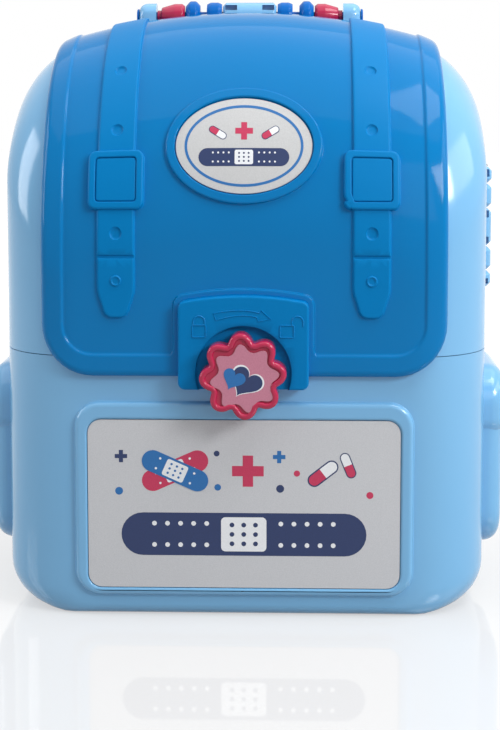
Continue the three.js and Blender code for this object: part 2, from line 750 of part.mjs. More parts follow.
function frontFlap() {
  const ahead = block(-farReach, farReach, -farReach, partingY - partGap, -farReach, farReach);
  const reach = (shape) => prismAlongY(shape, -farReach, partingY - partGap);
  let flap = skin(flapBack, panelHeight).intersect(reach(flapOutline(0, flapCorner)));
  const border = skin(panelHeight - overrun, borderHeight);
  const borderZone = reach(flapOutline(0, flapCorner))
    .subtract(reach(flapOutline(borderWidth, borderInnerCorner)));
  flap = flap.add(border.intersect(borderZone));
  const strapSkin = skin(panelHeight - overrun, strapHeight);
  const buckleSkin = skin(panelHeight - overrun, buckleHeight);
  const aboveDimple = skin(strapHeight - dimpleDepth, buckleHeight);
  for (const side of [-1, 1]) {
    const x = side * strapCentre;
    flap = flap.add(strapSkin.intersect(reach(strapOutline(x))));
    const groove = block(
      x - strapWidth, x + strapWidth, -farReach, 0,
      strapGrooveHeight - strapGrooveWidth / 2, strapGrooveHeight + strapGrooveWidth / 2,
    );
    flap = flap.subtract(aboveDimple.intersect(groove));
    const half = buckleWidth / 2;
    const buckle = roundedRectangle(
      x - half, x + half, buckleBottom, buckleTop, buckleCorner, buckleCorner,
    );
    flap = flap.add(buckleSkin.intersect(prismAlongY(buckle, -farReach, 0, smallCorners)));
    const inside = half - buckleFrame;
    const inner = roundedRectangle(
      x - inside, x + inside, buckleBottom + buckleFrame, buckleTop - buckleFrame,
      buckleFrameCorner, buckleFrameCorner,
    );
    const sink = skin(buckleInsetHeight, buckleHeight + overrun);
    flap = flap.subtract(sink.intersect(prismAlongY(inner, -farReach, 0, smallCorners)));
    for (const height of dimpleHeights) {
      const pit = cylinder(dimpleRadius, -farReach, 0, 10, 'y', x, 0, height);
      flap = flap.subtract(aboveDimple.intersect(pit));
    }
    const stud = cylinder(studRadius, -farReach, 0, 10, 'y', x, 0, studHeight);
    flap = flap.subtract(aboveDimple.intersect(stud));
  }
  const ringOutline = ellipse(ringHalfWidth, ringHalfHeight, ovalHeight);
  const ringHole = ellipse(ringHalfWidth - ringWall, ringHalfHeight - ringWall, ovalHeight);
  const ringZone = prismAlongY(ringOutline, -farReach, 0, ovalEdge)
    .subtract(prismAlongY(ringHole, -farReach, 0, ovalEdge));
  flap = flap.add(skin(panelHeight - overrun, ringHeight).intersect(ringZone));
  const back = frontFace - flapBack;
  const rim = prismAlongY(platePath(plateRim, plateCorner + plateRim), frontFace - borderHeight, back);
  const plate = prismAlongY(platePath(0, plateCorner), frontFace - plateHeight, back);
  flap = joined(flap, rim, plate);
  const floorFront = frontFace - recessFloorHeight;
  const moon = cylinder(recessRadius, -farReach, floorFront, 40, 'y', 0, 0, lockHeight);
  flap = flap.subtract(moon);
  const floorBack = floorFront + recessFloorWall;
  const washerRoom = washerRadius + overrun;
  flap = flap.subtract(cylinder(washerRoom, floorBack, 0, 16, 'y', 0, 0, lockHeight));
  flap = flap.subtract(cylinder(knobBearing + fitGap, -farReach, 0, 20, 'y', 0, 0, lockHeight));
  for (const side of [-1, 1]) {
    const x = side * strapCentre;
    const bite = frontFace - panelHeight;
    flap = flap.add(cylinder(flapBossRadius, bite, lowerScrewSeat, 12, 'y', x, 0, lowerFlapScrewHeight));
    const bore = screwShank + fitGap;
    const deep = lowerScrewSeat - flapScrewBite - overrun;
    flap = flap.subtract(cylinder(bore, deep, 0, 8, 'y', x, 0, lowerFlapScrewHeight));
    const boss = cylinder(flapBossRadius, upperScrewHeight, crestHeight, 12, 'z', x, upperFlapScrewY, 0);
    flap = flap.add(boss.intersect(caseForm(-panelHeight)));
    const high = upperScrewHeight + flapScrewBite + overrun;
    flap = flap.subtract(cylinder(bore, shoulderHeight, high, 8, 'z', x, upperFlapScrewY, 0));
  }
  return flap.intersect(ahead);
}

function ovalBadge() {
  const margin = ringWall + badgeMargin;
  const outline = ellipse(ringHalfWidth - margin, ringHalfHeight - margin, ovalHeight);
  const base = panelHeight + fitGap;
  return skin(base, base + badgeThickness).intersect(prismAlongY(outline, -farReach, 0, ovalEdge));
}

// Knob: eight rounded petals, dished face, hollow back and a stub that turns in the lock plate
function petalOutline(sizeShare) {
  const centre = petalCentre * sizeShare;
  const radius = petalRadius * sizeShare;
  const half = Math.PI / knobPetals;
  const valley = centre * Math.cos(half) + Math.sqrt(radius ** 2 - (centre * Math.sin(half)) ** 2);
  const sweep = Math.atan2(valley * Math.sin(half), valley * Math.cos(half) - centre);
  const points = [];
  for (let i = 0; i < knobPetals; i += 1) {
    const turn = 2 * i * half + petalTurn;
    for (let j = 0; j < petalSteps; j += 1) {
      const angle = turn - sweep + (2 * sweep * j) / petalSteps;
      const x = centre * Math.cos(turn) + radius * Math.cos(angle);
      const z = centre * Math.sin(turn) + radius * Math.sin(angle);
      points.push(new THREE.Vector2(x, lockHeight + z));
    }
  }
  return new THREE.Shape(points);
}

const knobBack = frontFace - knobBackHeight;
const knobFace = knobBack - knobLength;
const knobFloor = knobFace + knobDish;
const bearingEnd = frontFace - knobBearingEnd;
const washerFront = bearingEnd + fitGap;
const washerBack = washerFront + washerThickness;
const screwSeat = keyBack + fitGap;

function knob() {
  const outline = petalOutline(1);
  const bevel = { bevelEnabled: true, bevelThickness: knobEdge, bevelSize: knobEdge };
  const options = { ...bevel, bevelOffset: -knobEdge, bevelSegments: 2 };
  let body = prismAlongY(outline, knobFace + knobEdge, knobBack - knobEdge, options);
  const dish = petalOutline(1 - knobRim / (petalCentre + petalRadius));
  body = body.subtract(prismAlongY(dish, knobFace - overrun, knobFloor));
  const sink = cylinder(knobSinkRadius, knobBack - knobSinkDepth, 0, 24, 'y', 0, 0, lockHeight);
  body = body.subtract(sink);
  const stubFoot = knobBack - knobSinkDepth - wall;
  body = body.add(cylinder(knobBearing, stubFoot, bearingEnd, 20, 'y', 0, 0, lockHeight));
  const deep = bearingEnd - knobScrewBite - knobBoreSpare;
  return body.subtract(cylinder(screwShank + fitGap, deep, 0, 8, 'y', 0, 0, lockHeight));
}

function knobSticker() {
  const reach = (petalCentre + petalRadius - knobRim) * stickerReachShare;
  const shape = new THREE.Shape();
  const count = knobPetals * stickerSteps;
  for (let i = 0; i < count; i += 1) {
    const angle = (i / count) * 2 * Math.PI;
    const wave = 0.5 - 0.5 * Math.cos(knobPetals * (angle - stickerTurn));
    const radius = reach - stickerWave * wave;
    const x = radius * Math.cos(angle);
    const z = lockHeight + radius * Math.sin(angle);
    if (i === 0) shape.moveTo(x, z);
    else shape.lineTo(x, z);
  }
  shape.closePath();
  const back = knobFloor - fitGap;
  return prismAlongY(shape, back - stickerThickness, back);
}

function lockKey() {
  const stem = cylinder(keyStem, washerBack + fitGap, keyFront + overrun, 12, 'y', 0, 0, lockHeight);
  const round = keyWidth / 2 - fitGap;
  const outline = roundedRectangle(
    -keyLength / 2, keyLength / 2, lockHeight - keyWidth / 2, lockHeight + keyWidth / 2, round, round,
  );
  const bar = prismAlongY(outline, keyFront, keyBack, smallCorners);
  const bore = cylinder(screwShank + fitGap, -farReach, farReach, 8, 'y', 0, 0, lockHeight);
  return joined(stem, bar).subtract(bore);
}

function knobWasher() {
  const bore = screwShank + fitGap;
  const profile = [[bore, washerFront], [washerRadius, washerFront], [washerRadius, washerBack],
    [bore, washerBack], [bore, washerFront]];
  return turned(profile, 16, 'y', 0, 0, lockHeight);
}

// Handle: beads on a rod between the lugs
function bead(side, start, profile) {
  const bore = rodRadius + beadClearance;
  const last = profile[profile.length - 1][1];
  const closed = [[bore, 0], ...profile, [bore, last], [bore, 0]];
  const placed = side > 0 ? closed : flipped(closed);
  return turned(placed, 14, 'x', side * start, handleY, handleHeight);
}

function roundBead(side, { start, length, radius, edge }) {
  const profile = [[radius - edge, 0], [radius, edge], [radius, length - edge], [radius - edge, length]];
  return bead(side, start, profile);
}

function taperedBead(side, { start, length, radius, endRadius, neck }) {
  const neckEnd = wellHalfWidth - beadClearance - start;
  const edge = radius - endRadius;
  const profile = [[radius - edge / 2, 0], [radius, edge / 2], [radius, length / 2],
    [endRadius, length], [neck, length], [neck, neckEnd]];
  return bead(side, start, profile);
}

function centreGrip() {
  const bore = rodRadius + beadClearance;
  const edge = gripRadius - gripEdge;
  const profile = [[bore, -gripHalfLength], [edge, -gripHalfLength],
    [gripRadius, gripEdge - gripHalfLength], [gripRadius, gripHalfLength - gripEdge],
    [edge, gripHalfLength], [bore, gripHalfLength], [bore, -gripHalfLength]];
  let grip = turned(profile, 16, 'x', 0, handleY, handleHeight);
  const top = handleHeight + gripRadius - gripSlotDepth;
  const front = handleY - gripRadius;
  for (const side of [-1, 1]) {
    const x0 = side > 0 ? gripSlotStart : -gripSlotEnd;
    const x1 = side > 0 ? gripSlotEnd : -gripSlotStart;
    const back = handleY - bore - fitGap;
    grip = grip.subtract(block(x0, x1, front - overrun, back, top - gripSlotHeight, top));
  }
  return grip;
}

function handleRod() {
  const head = -wellHalfWidth - lugWidth - fitGap;
  const end = wellHalfWidth + lugWidth + fitGap + capBore;
  const edge = rodHeadThickness / 2;
  const tip = head - rodHeadThickness;
  const profile = [[0, tip], [rodHead - edge, tip], [rodHead, head - edge], [rodHead, head],
    [rodRadius, head], [rodRadius, end], [0, end]];
  return turned(profile, 12, 'x', 0, handleY, handleHeight);
}

function rodCap() {
  const start = wellHalfWidth + lugWidth + fitGap;
  const bore = rodRadius + fitGap;
  const roof = start + capBore + fitGap * 2;
  const end = roof + rodHeadThickness;
  const edge = rodHeadThickness / 2;
  const profile = [[bore, start], [rodHead, start], [rodHead, end - edge], [rodHead - edge, end],
    [0, end], [0, roof], [bore, roof], [bore, start]];
  return turned(profile, 12, 'x', 0, handleY, handleHeight);
}

// Hinge pin: dropped in from above, its head rests on the top knuckle
function hingePin() {
  const foot = pinFloor - hingeHalfLength + fitGap;
  const head = hingeHalfLength + fitGap;
  const edge = pinHeadThickness / 2;
  const profile = [[0, foot], [pinRadius, foot], [pinRadius, head], [pinHead, head],
    [pinHead, head + edge], [pinHead - edge, head + pinHeadThickness], [0, head + pinHeadThickness]];
  return turned(profile, 12, 'z', hingeX, partingY, hingeMiddle);
}

// Screws in place
function caseScrew({ side, height }) {
  const seat = partingY + caseScrewSeat + fitGap;
  const length = seat - partingY + caseScrewBite;
  const profile = screwProfile(caseScrewHead, caseScrewHeadHeight, screwShank, length);
  return turned(profile, screwSegments, 'y', side * towerX, seat, height);
}

function lowerFlapScrew(side) {
  const seat = lowerScrewSeat + fitGap;
  const profile = screwProfile(flapScrewHead, flapScrewHeadHeight, screwShank, flapScrewBite);
  return turned(profile, screwSegments, 'y', side * strapCentre, seat, lowerFlapScrewHeight);
}

function upperFlapScrew(side) {
  const seat = upperScrewHeight - fitGap;
  const profile = flipped(screwProfile(flapScrewHead, flapScrewHeadHeight, screwShank, flapScrewBite));
  return turned(profile, screwSegments, 'z', side * strapCentre, upperFlapScrewY, seat);
}

function knobScrew() {
  const length = screwSeat - bearingEnd + knobScrewBite;
  const profile = screwProfile(knobScrewHead, knobScrewHeadHeight, screwShank, length);
  return turned(profile, screwSegments, 'y', 0, screwSeat, lockHeight);
}

// Assembly
const doctorCase = new THREE.Group();

function place(name, solid, finish) {
  const mesh = new THREE.Mesh(toGeometry(solid), new THREE.MeshStandardMaterial(finish));
  mesh.name = name;
  doctorCase.add(mesh);
}

place('rear_shell', rearShell(), bodyBlue);
place('lower_front_shell', lowerFrontShell(), bodyBlue);
place('door_shell', doorShell(), bodyBlue);
place('front_flap', frontFlap(), flapBlue);
place('oval_badge', ovalBadge(), sheetGrey);
place('front_label', frontLabel(), sheetGrey);
place('left_side_pocket', sidePocket(-1), bodyBlue);
place('right_side_pocket', sidePocket(1), bodyBlue);
place('hinge_pin', hingePin(), zincSteel);
place('knob', knob(), crimson);
place('knob_badge', knobSticker(), stickerPink);
place('lock_key', lockKey(), innerGrey);
place('knob_washer', knobWasher(), zincSteel);
place('knob_screw', knobScrew(), zincSteel);
place('handle_rod', handleRod(), handleBlue);
place('rod_cap', rodCap(), handleBlue);
place('centre_grip', centreGrip(), bodyBlue);
for (const [word, side] of [['left', -1], ['right', 1]]) {
  place(`${word}_inner_bead`, roundBead(side, innerBead), handleBlue);
  place(`${word}_blue_bead`, roundBead(side, blueBead), handleBlue);
  place(`${word}_crimson_bead`, taperedBead(side, crimsonBead), crimson);
  place(`lower_${word}_flap_screw`, lowerFlapScrew(side), zincSteel);
  place(`upper_${word}_flap_screw`, upperFlapScrew(side), zincSteel);
}
towers.forEach((spot) => {
  const word = spot.side < 0 ? 'left' : 'right';
  const level = spot.height === towerHeights[0] ? 'lower' : 'upper';
  place(`${level}_${word}_case_screw`, caseScrew(spot), zincSteel);
});

export default doctorCase;
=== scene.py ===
"""Visual model of a toy doctor case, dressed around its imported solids.

The case is moulded plastic: a rear shell, a lower front shell, a door with a decorated flap,
a knob, a beaded handle and two side pockets. Sizes are in millimetres until a piece is made.
"""

import json
import logging
import math
from dataclasses import dataclass, field
from enum import Enum
from itertools import product
from typing import Any, Callable, Sequence

import bmesh
import bpy
import numpy as np
from bmesh.types import BMEdge, BMesh, BMFace, BMVert
from bpy.types import Material, Node, NodeSocket, NodeTree, Object
from mathutils import Matrix, Vector

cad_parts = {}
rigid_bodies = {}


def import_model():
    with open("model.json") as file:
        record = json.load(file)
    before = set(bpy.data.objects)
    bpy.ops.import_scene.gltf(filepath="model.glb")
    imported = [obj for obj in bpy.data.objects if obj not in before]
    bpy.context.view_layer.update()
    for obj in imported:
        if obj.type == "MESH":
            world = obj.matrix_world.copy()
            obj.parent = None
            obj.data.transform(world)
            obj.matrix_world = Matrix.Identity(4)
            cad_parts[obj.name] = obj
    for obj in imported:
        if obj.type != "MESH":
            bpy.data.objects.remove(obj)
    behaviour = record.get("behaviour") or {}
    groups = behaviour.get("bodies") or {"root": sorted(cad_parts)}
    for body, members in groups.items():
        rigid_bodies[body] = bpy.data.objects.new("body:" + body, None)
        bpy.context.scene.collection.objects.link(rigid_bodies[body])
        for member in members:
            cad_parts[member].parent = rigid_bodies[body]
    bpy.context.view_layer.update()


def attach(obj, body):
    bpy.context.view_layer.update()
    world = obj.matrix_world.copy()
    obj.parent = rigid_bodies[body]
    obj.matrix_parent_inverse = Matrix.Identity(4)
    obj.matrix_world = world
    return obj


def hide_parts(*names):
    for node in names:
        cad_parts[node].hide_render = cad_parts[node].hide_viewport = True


for leftover in list(bpy.data.objects):
    bpy.data.objects.remove(leftover)

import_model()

log = logging.getLogger("doctor_case")

MM = 0.001
HIDDEN_DEPTH = 0.5  # how far a raised form starts below the face that carries it
GRID_STEP = 5.0  # spacing of the cuts that let a flat form bend
SAME_PLACE = 1e-4  # points closer than this are one
PAST_EDGE = 0.4  # how far a section goes on past a rounded edge
HALVINGS = 44  # steps of a search by halving
CREASE = 38.0  # angle in degrees past which a moulded edge stays sharp
HARD_CREASE = 50.0  # the same for turned pieces

LOCK_HEIGHT = 120.3  # the knob's axis
OVAL_HEIGHT = 227.3  # middle of the badge, seen straight on
STRAP_X = 60.6
HANDLE_Y, HANDLE_HEIGHT = 26.0, 292.4  # the rod's axis

# Places of the two colours and the mixed colour among a Mix node's sockets
FIRST_COLOUR, SECOND_COLOUR, MIXED = 6, 7, 2
WHITE = (1.0, 1.0, 1.0, 1.0)

Point = tuple[float, float]
Space = tuple[float, float, float]
Points = tuple[Point, ...]
Spaces = tuple[Space, ...]


class Slot(Enum):
    """Material slot names that the new pieces are passed with; nothing reads them."""

    BODY = "body_plastic"
    FLAP = "flap_plastic"
    CRIMSON = "crimson_plastic"
    HANDLE = "handle_plastic"
    LABEL = "label_sheet"
    BADGE = "badge_sheet"
    STICKER = "sticker_sheet"


class Ink(Enum):
    """Screen-printed inks of the sheets, each with its colour and speckle: even and satin."""

    NAVY = ("navy", "1b2f5e", "172a55")
    BLUE = ("blue", "1f6cae", "1b64a3")
    CRIMSON = ("crimson", "c4335a", "b82c52")
    PALE = ("pale", "eef0f3", "e4e7eb")


class Carve(Enum):
    """What a carving tool does to a piece."""

    CUT = "DIFFERENCE"
    JOIN = "UNION"


# Finishes


def linear(hex_colour: str) -> tuple[float, float, float, float]:
    """Turns an sRGB hex colour to the linear colour that the shader takes.

    Args:
        hex_colour: Six hex digits.

    Returns:
        Linear red, green and blue, and an alpha of one.
    """
    shares = [int(hex_colour[i : i + 2], 16) / 255 for i in (0, 2, 4)]
    lit = [c / 12.92 if c <= 0.04045 else ((c + 0.055) / 1.055) ** 2.4 for c in shares]
    return lit[0], lit[1], lit[2], 1.0


def per_metre(size_mm: float) -> float:
    """Returns the texture scale whose features are size_mm across."""
    return 1.0 / (size_mm * MM)


def add_node(
    tree: NodeTree,
    kind: str,
    settings: dict[str | int, Any] | None = None,
    links: dict[str | int, NodeSocket] | None = None,
) -> Node:
    """Adds a node with its settings and its incoming links.

    Args:
        tree: The material's or world's node tree.
        kind: Blender's node type.
        settings: Input names or numbers with values, or attribute names with values.
        links: Input names or numbers with the sockets that feed them.

    Returns:
        The new node.
    """
    node = tree.nodes.new(kind)
    for key, value in (settings or {}).items():
        if isinstance(key, int) or key in node.inputs:
            node.inputs[key].default_value = value
        else:
            setattr(node, key, value)
    for key, socket in (links or {}).items():
        tree.links.new(socket, node.inputs[key])
    return node


def started(name: str) -> tuple[Material, NodeTree]:
    """Starts an empty material.

    Args:
        name: The material's name.

    Returns:
        The material and its node tree.
    """
    made = bpy.data.materials.new(name)
    made.use_nodes = True
    made.node_tree.nodes.clear()
    return made, made.node_tree


@dataclass(frozen=True)
class MouldedPlastic:
    """Injection-moulded plastic: faint flow marks in the colour and the mould's grain.

    The eye sees even colour, soft clouds of shade, and reflections broken up by the grain.
    """

    name: str
    colour: str
    flow_colour: str
    roughness: float
    roughness_spread: float
    grain_mm: float
    grain_depth_mm: float
    grain_strength: float
    specular: float = 0.5
    ior: float = 1.5
    flow_mm: float = 45.0
    wear_mm: float = 7.0

    def material(self) -> Material:
        """Returns the plastic's material."""
        made, tree = started(self.name)
        place = {"Vector": add_node(tree, "ShaderNodeTexCoord").outputs["Object"]}
        patterns = ((self.flow_mm, 3.0, 0.55), (self.wear_mm, 4.0, 0.6), (self.grain_mm, 2.0, 0.6))
        flow, wear, grain = (
            add_node(
                tree,
                "ShaderNodeTexNoise",
                {"Scale": per_metre(size), "Detail": detail, "Roughness": fineness},
                place,
            ).outputs["Fac"]
            for size, detail, fineness in patterns
        )
        tones = {FIRST_COLOUR: linear(self.colour), SECOND_COLOUR: linear(self.flow_colour)}
        colour = add_node(tree, "ShaderNodeMix", {"data_type": "RGBA", **tones}, {"Factor": flow})
        low, high = self.roughness - self.roughness_spread, self.roughness + self.roughness_spread
        rough = add_node(tree, "ShaderNodeMapRange", {"To Min": low, "To Max": high}, {"Value": wear})
        bump = add_node(
            tree,
            "ShaderNodeBump",
            {"Strength": self.grain_strength, "Distance": self.grain_depth_mm * MM},
            {"Height": grain},
        )
        shader = add_node(
            tree,
            "ShaderNodeBsdfPrincipled",
            {"IOR": self.ior, "Specular IOR Level": self.specular},
            {
                "Base Color": colour.outputs[MIXED],
                "Roughness": rough.outputs["Result"],
                "Normal": bump.outputs["Normal"],
            },
        )
        add_node(tree, "ShaderNodeOutputMaterial", links={"Surface": shader.outputs["BSDF"]})
        return made


@dataclass(frozen=True)
class PrintedSheet:
    """Printed film: a flat tone with fine speckle and a satin face."""

    name: str
    colour: str
    speckle_colour: str
    speckle_mm: float
    roughness: float
    relief: float = 0.12
    relief_mm: float = 0.05

    def material(self) -> Material:
        """Returns the sheet's material."""
        made, tree = started(self.name)
        speckle = add_node(
            tree,
            "ShaderNodeTexNoise",
            {"Scale": per_metre(self.speckle_mm), "Detail": 5.0, "Roughness": 0.75},
            {"Vector": add_node(tree, "ShaderNodeTexCoord").outputs["Object"]},
        ).outputs["Fac"]
        contrast = add_node(
            tree, "ShaderNodeMapRange", {"From Min": 0.35, "From Max": 0.65}, {"Value": speckle}
        )
        tones = {FIRST_COLOUR: linear(self.colour), SECOND_COLOUR: linear(self.speckle_colour)}
        colour = add_node(
            tree,
            "ShaderNodeMix",
            {"data_type": "RGBA", **tones},
            {"Factor": contrast.outputs["Result"]},
        )
        bump = add_node(
            tree,
            "ShaderNodeBump",
            {"Strength": self.relief, "Distance": self.relief_mm * MM},
            {"Height": speckle},
        )
        shader = add_node(
            tree,
            "ShaderNodeBsdfPrincipled",
            {"Roughness": self.roughness},
            {"Base Color": colour.outputs[MIXED], "Normal": bump.outputs["Normal"]},
        )
        add_node(tree, "ShaderNodeOutputMaterial", links={"Surface": shader.outputs["BSDF"]})
        return made


@dataclass(frozen=True)
class PlatedSteel:
    """Zinc-plated steel: a cool grey metal whose tone and gloss are clouded."""

    name: str
    colour: str
    cloud_colour: str
    smoothest: float
    roughest: float
    cloud_mm: float = 1.6

    def material(self) -> Material:
        """Returns the steel's material."""
        made, tree = started(self.name)
        cloud = add_node(
            tree,
            "ShaderNodeTexNoise",
            {"Scale": per_metre(self.cloud_mm), "Detail": 4.0},
            {"Vector": add_node(tree, "ShaderNodeTexCoord").outputs["Object"]},
        ).outputs["Fac"]
        tones = {FIRST_COLOUR: linear(self.colour), SECOND_COLOUR: linear(self.cloud_colour)}
        colour = add_node(tree, "ShaderNodeMix", {"data_type": "RGBA", **tones}, {"Factor": cloud})
        rough = add_node(
            tree,
            "ShaderNodeMapRange",
            {"To Min": self.smoothest, "To Max": self.roughest},
            {"Value": cloud},
        )
        shader = add_node(
            tree,
            "ShaderNodeBsdfPrincipled",
            {"Metallic": 1.0},
            {"Base Color": colour.outputs[MIXED], "Roughness": rough.outputs["Result"]},
        )
        add_node(tree, "ShaderNodeOutputMaterial", links={"Surface": shader.outputs["BSDF"]})
        return made


def made_once(look: MouldedPlastic | PrintedSheet | PlatedSteel) -> Any:
    """Returns a dataclass field that holds the look's material."""
    return field(default_factory=look.material)


def printed_inks() -> dict[Ink, Material]:
    """Makes the inks' materials."""
    looks = {ink: PrintedSheet(f"{ink.value[0]}_ink", *ink.value[1:], 0.5, 0.4) for ink in Ink}
    return {ink: look.material() for ink, look in looks.items()}


@dataclass
class FinishSet:
    """The case's finishes, each made once."""

    # Polished-mould ABS of the body: clear reflections with a slight orange peel
    body: Material = made_once(
        MouldedPlastic("light_blue_moulded_abs", "76b3de", "72afdb", 0.13, 0.01, 0.9, 0.01, 0.12)
    )
    # The flap's polished zones: sharper and fainter reflections on a deep blue
    azure: Material = made_once(
        MouldedPlastic("azure_polished_abs", "0077b8", "0074b4", 0.08, 0.01, 1.1, 0.01, 0.12, 0.11)
    )
    # Straps and lock plate: spark-eroded grain, drawn at 0.45 mm so that it shows as a matt face
    grained: Material = made_once(
        MouldedPlastic("azure_grained_abs", "007bbd", "0077b7", 0.4, 0.03, 0.45, 0.05, 0.6, 0.1)
    )
    # Knob and small beads: the same polish as the body on a full red
    crimson: Material = made_once(
        MouldedPlastic("crimson_polished_abs", "b81d4b", "b01945", 0.12, 0.01, 1.0, 0.01, 0.15, 0.35)
    )
    # Blue beads and the rod: small bright highlights on a dark blue
    bead_blue: Material = made_once(
        MouldedPlastic("blue_polished_abs", "0066ba", "0060b2", 0.12, 0.01, 1.0, 0.01, 0.15, 0.1)
    )
    # Uncoloured moulding of the key: waxy and dull
    inner: Material = made_once(
        MouldedPlastic("natural_moulded_polypropylene", "d8dde2", "cfd5dc", 0.5, 0.05, 0.8, 0.03, 0.4)
    )
    # Printed films: a silvery speckle on the label, finer grey on the badge, flat pink on the knob
    silver: Material = made_once(PrintedSheet("silver_grey_label_film", "cdced2", "c0c2c6", 0.55, 0.42))
    badge: Material = made_once(PrintedSheet("light_grey_badge_film", "c8c9ca", "bcbdbe", 0.6, 0.4))
    pink: Material = made_once(PrintedSheet("pink_sticker_film", "c47f94", "b9748a", 0.7, 0.38))
    # Screws, washer and hinge pin: clouded grey metal
    steel: Material = made_once(PlatedSteel("zinc_plated_steel", "b4b8bd", "9fa4aa", 0.22, 0.4))
    inks: dict[Ink, Material] = field(default_factory=printed_inks)


# The case's form


def quarter(steps: int) -> list[float]:
    """Returns the angles of a quarter turn."""
    return [math.pi / 2 * i / steps for i in range(steps + 1)]


def round_off(distance: np.ndarray, radius: np.ndarray) -> np.ndarray:
    """Returns how far a quarter-round edge of that radius is drawn in at a distance from its end."""
    left = np.clip(radius - distance, 0, radius)
    return radius - np.sqrt(radius**2 - left**2)


@dataclass(frozen=True)
class CaseForm:
    """The rounded form that the shells, the flap and the prints share.

    An outline seen from the front stands at each depth. A negative inset grows the form.
    """

    half_width: float = 119.5
    front: float = -75.0
    rear: float = 75.0
    crest: float = 290.0
    shoulder: float = 182.0
    parting: float = 10.0
    front_corner: float = 38.0
    rear_corner: float = 26.0
    rear_top: float = 45.0
    base_edge: float = 6.0
    top_corner: float = 50.0
    base_corner: float = 20.0
    arch: float = 320.0
    side_draft_share: float = 0.02
    corner_left_share: float = 0.45
    base_steps: int = 8
    base_corner_steps: int = 8
    side_steps: int = 26
    top_corner_steps: int = 18
    arch_steps: int = 16
    front_steps: int = 26
    rear_steps: int = 16

    def measures(self, y: np.ndarray, inset: float | np.ndarray) -> tuple[np.ndarray, ...]:
        """Gives the outline's sizes at a depth.

        Args:
            y: Depths.
            inset: How far the form is drawn in.

        Returns:
            Half width, base, top, top corner radius, base corner radius and arch radius.
        """
        y = np.asarray(y, float)
        ahead = y <= self.parting
        depth = np.where(ahead, y - self.front - inset, self.rear - inset - y)
        corner = np.where(ahead, self.front_corner, self.rear_corner) - inset
        drawn = round_off(depth, corner)
        lean = self.side_draft_share * np.abs(y - self.parting)
        side = self.half_width - inset - lean - drawn
        base = inset + round_off(depth, self.base_edge - inset)
        run = self.parting - self.front - inset
        rise = np.sqrt(np.clip(1 - ((run - depth) / run) ** 2, 0, 1))
        curved = self.shoulder + (self.crest - inset - self.shoulder) * rise
        level = self.crest - inset - round_off(depth, self.rear_top - inset)
        top = np.where(ahead, curved, level)
        share = 1 - (1 - self.corner_left_share) * drawn / corner
        top_corner = (self.top_corner - inset) * share
        base_corner = (self.base_corner - inset) * share
        return side, base, top, top_corner, base_corner, self.arch - inset

    def excess(self, x: np.ndarray, y: np.ndarray, z: np.ndarray, inset: np.ndarray) -> np.ndarray:
        """Returns how far points lie outside the form's outline at their own depth."""
        side, base, top, top_corner, base_corner, arch = self.measures(y, inset)
        x = np.abs(x)
        corner_x = side - top_corner
        corner_rise = np.sqrt((arch - top_corner) ** 2 - corner_x**2)
        arch_z = top - arch
        corner_z = arch_z + corner_rise
        out = np.maximum(x - side, base - z)
        out = np.maximum(out, np.hypot(x, z - arch_z) - arch)
        beyond = (x > corner_x) & (z > corner_z)
        beyond &= (x - corner_x) * corner_rise > (z - corner_z) * corner_x
        out = np.where(beyond, np.hypot(x - corner_x, z - corner_z) - top_corner, out)
        below = (x > side - base_corner) & (z < base + base_corner)
        gap = np.hypot(x - side + base_corner, z - base - base_corner) - base_corner
        return np.maximum(np.where(below, gap, out), self.front + inset - y)

    def outline(self, y: float, inset: float) -> list[Space]:
        """Draws the outline at one depth.

        Args:
            y: The depth.
            inset: How far the form is drawn in.

        Returns:
            Points all round, from the middle of the base.
        """
        sizes = [float(v) for v in self.measures(np.array(y), inset)]
        side, base, top, top_corner, base_corner, arch = sizes
        corner_x = side - top_corner
        corner_rise = math.sqrt((arch - top_corner) ** 2 - corner_x**2)
        lean = math.atan2(corner_x, corner_rise)
        flat = side - base_corner
        low, high = base + base_corner, top - arch + corner_rise
        right = [(flat * i / self.base_steps, base) for i in range(self.base_steps)]
        for i in range(self.base_corner_steps):
            turn = -math.pi / 2 * (1 - i / self.base_corner_steps)
            x = flat + base_corner * math.cos(turn)
            right.append((x, base + base_corner * (1 + math.sin(turn))))
        right += [(side, low + (high - low) * i / self.side_steps) for i in range(self.side_steps)]
        for i in range(self.top_corner_steps):
            turn = (math.pi / 2 - lean) * i / self.top_corner_steps
            right.append((corner_x + top_corner * math.cos(turn), high + top_corner * math.sin(turn)))
        for i in range(self.arch_steps + 1):
            turn = lean * (1 - i / self.arch_steps)
            right.append((arch * math.sin(turn), top - arch + arch * math.cos(turn)))
        left = [(-x, z) for x, z in right[-2:0:-1]]
        return [(x, y, z) for x, z in right + left]

    def front_depths(self, inset: float) -> list[float]:
        """Returns depths from the front face to the parting plane, close together in front."""
        front = self.front + inset
        run = self.parting - front
        return [front + run * (1 - math.cos(turn)) for turn in quarter(self.front_steps)]

    def rear_depths(self, inset: float) -> list[float]:
        """Returns depths from the parting plane to the rear face."""
        rear = self.rear - inset
        run = self.rear_top - inset
        turned = [rear - run * (1 - math.cos(turn)) for turn in reversed(quarter(self.rear_steps))]
        return [self.parting, (self.parting + turned[0]) / 2, *turned]


FORM = CaseForm()


def found_by_halving(
    outside: Callable[[np.ndarray], np.ndarray], near: np.ndarray, far: np.ndarray
) -> np.ndarray:
    """Finds where rays leave a form.

    Args:
        outside: Tells for a reach along each ray whether it lies outside.
        near: Reaches that lie inside.
        far: Reaches that lie outside.

    Returns:
        The reaches at the form's surface.
    """
    for _ in range(HALVINGS):
        middle = (near + far) / 2
        out = outside(middle)
        near, far = np.where(out, near, middle), np.where(out, middle, far)
    return (near + far) / 2


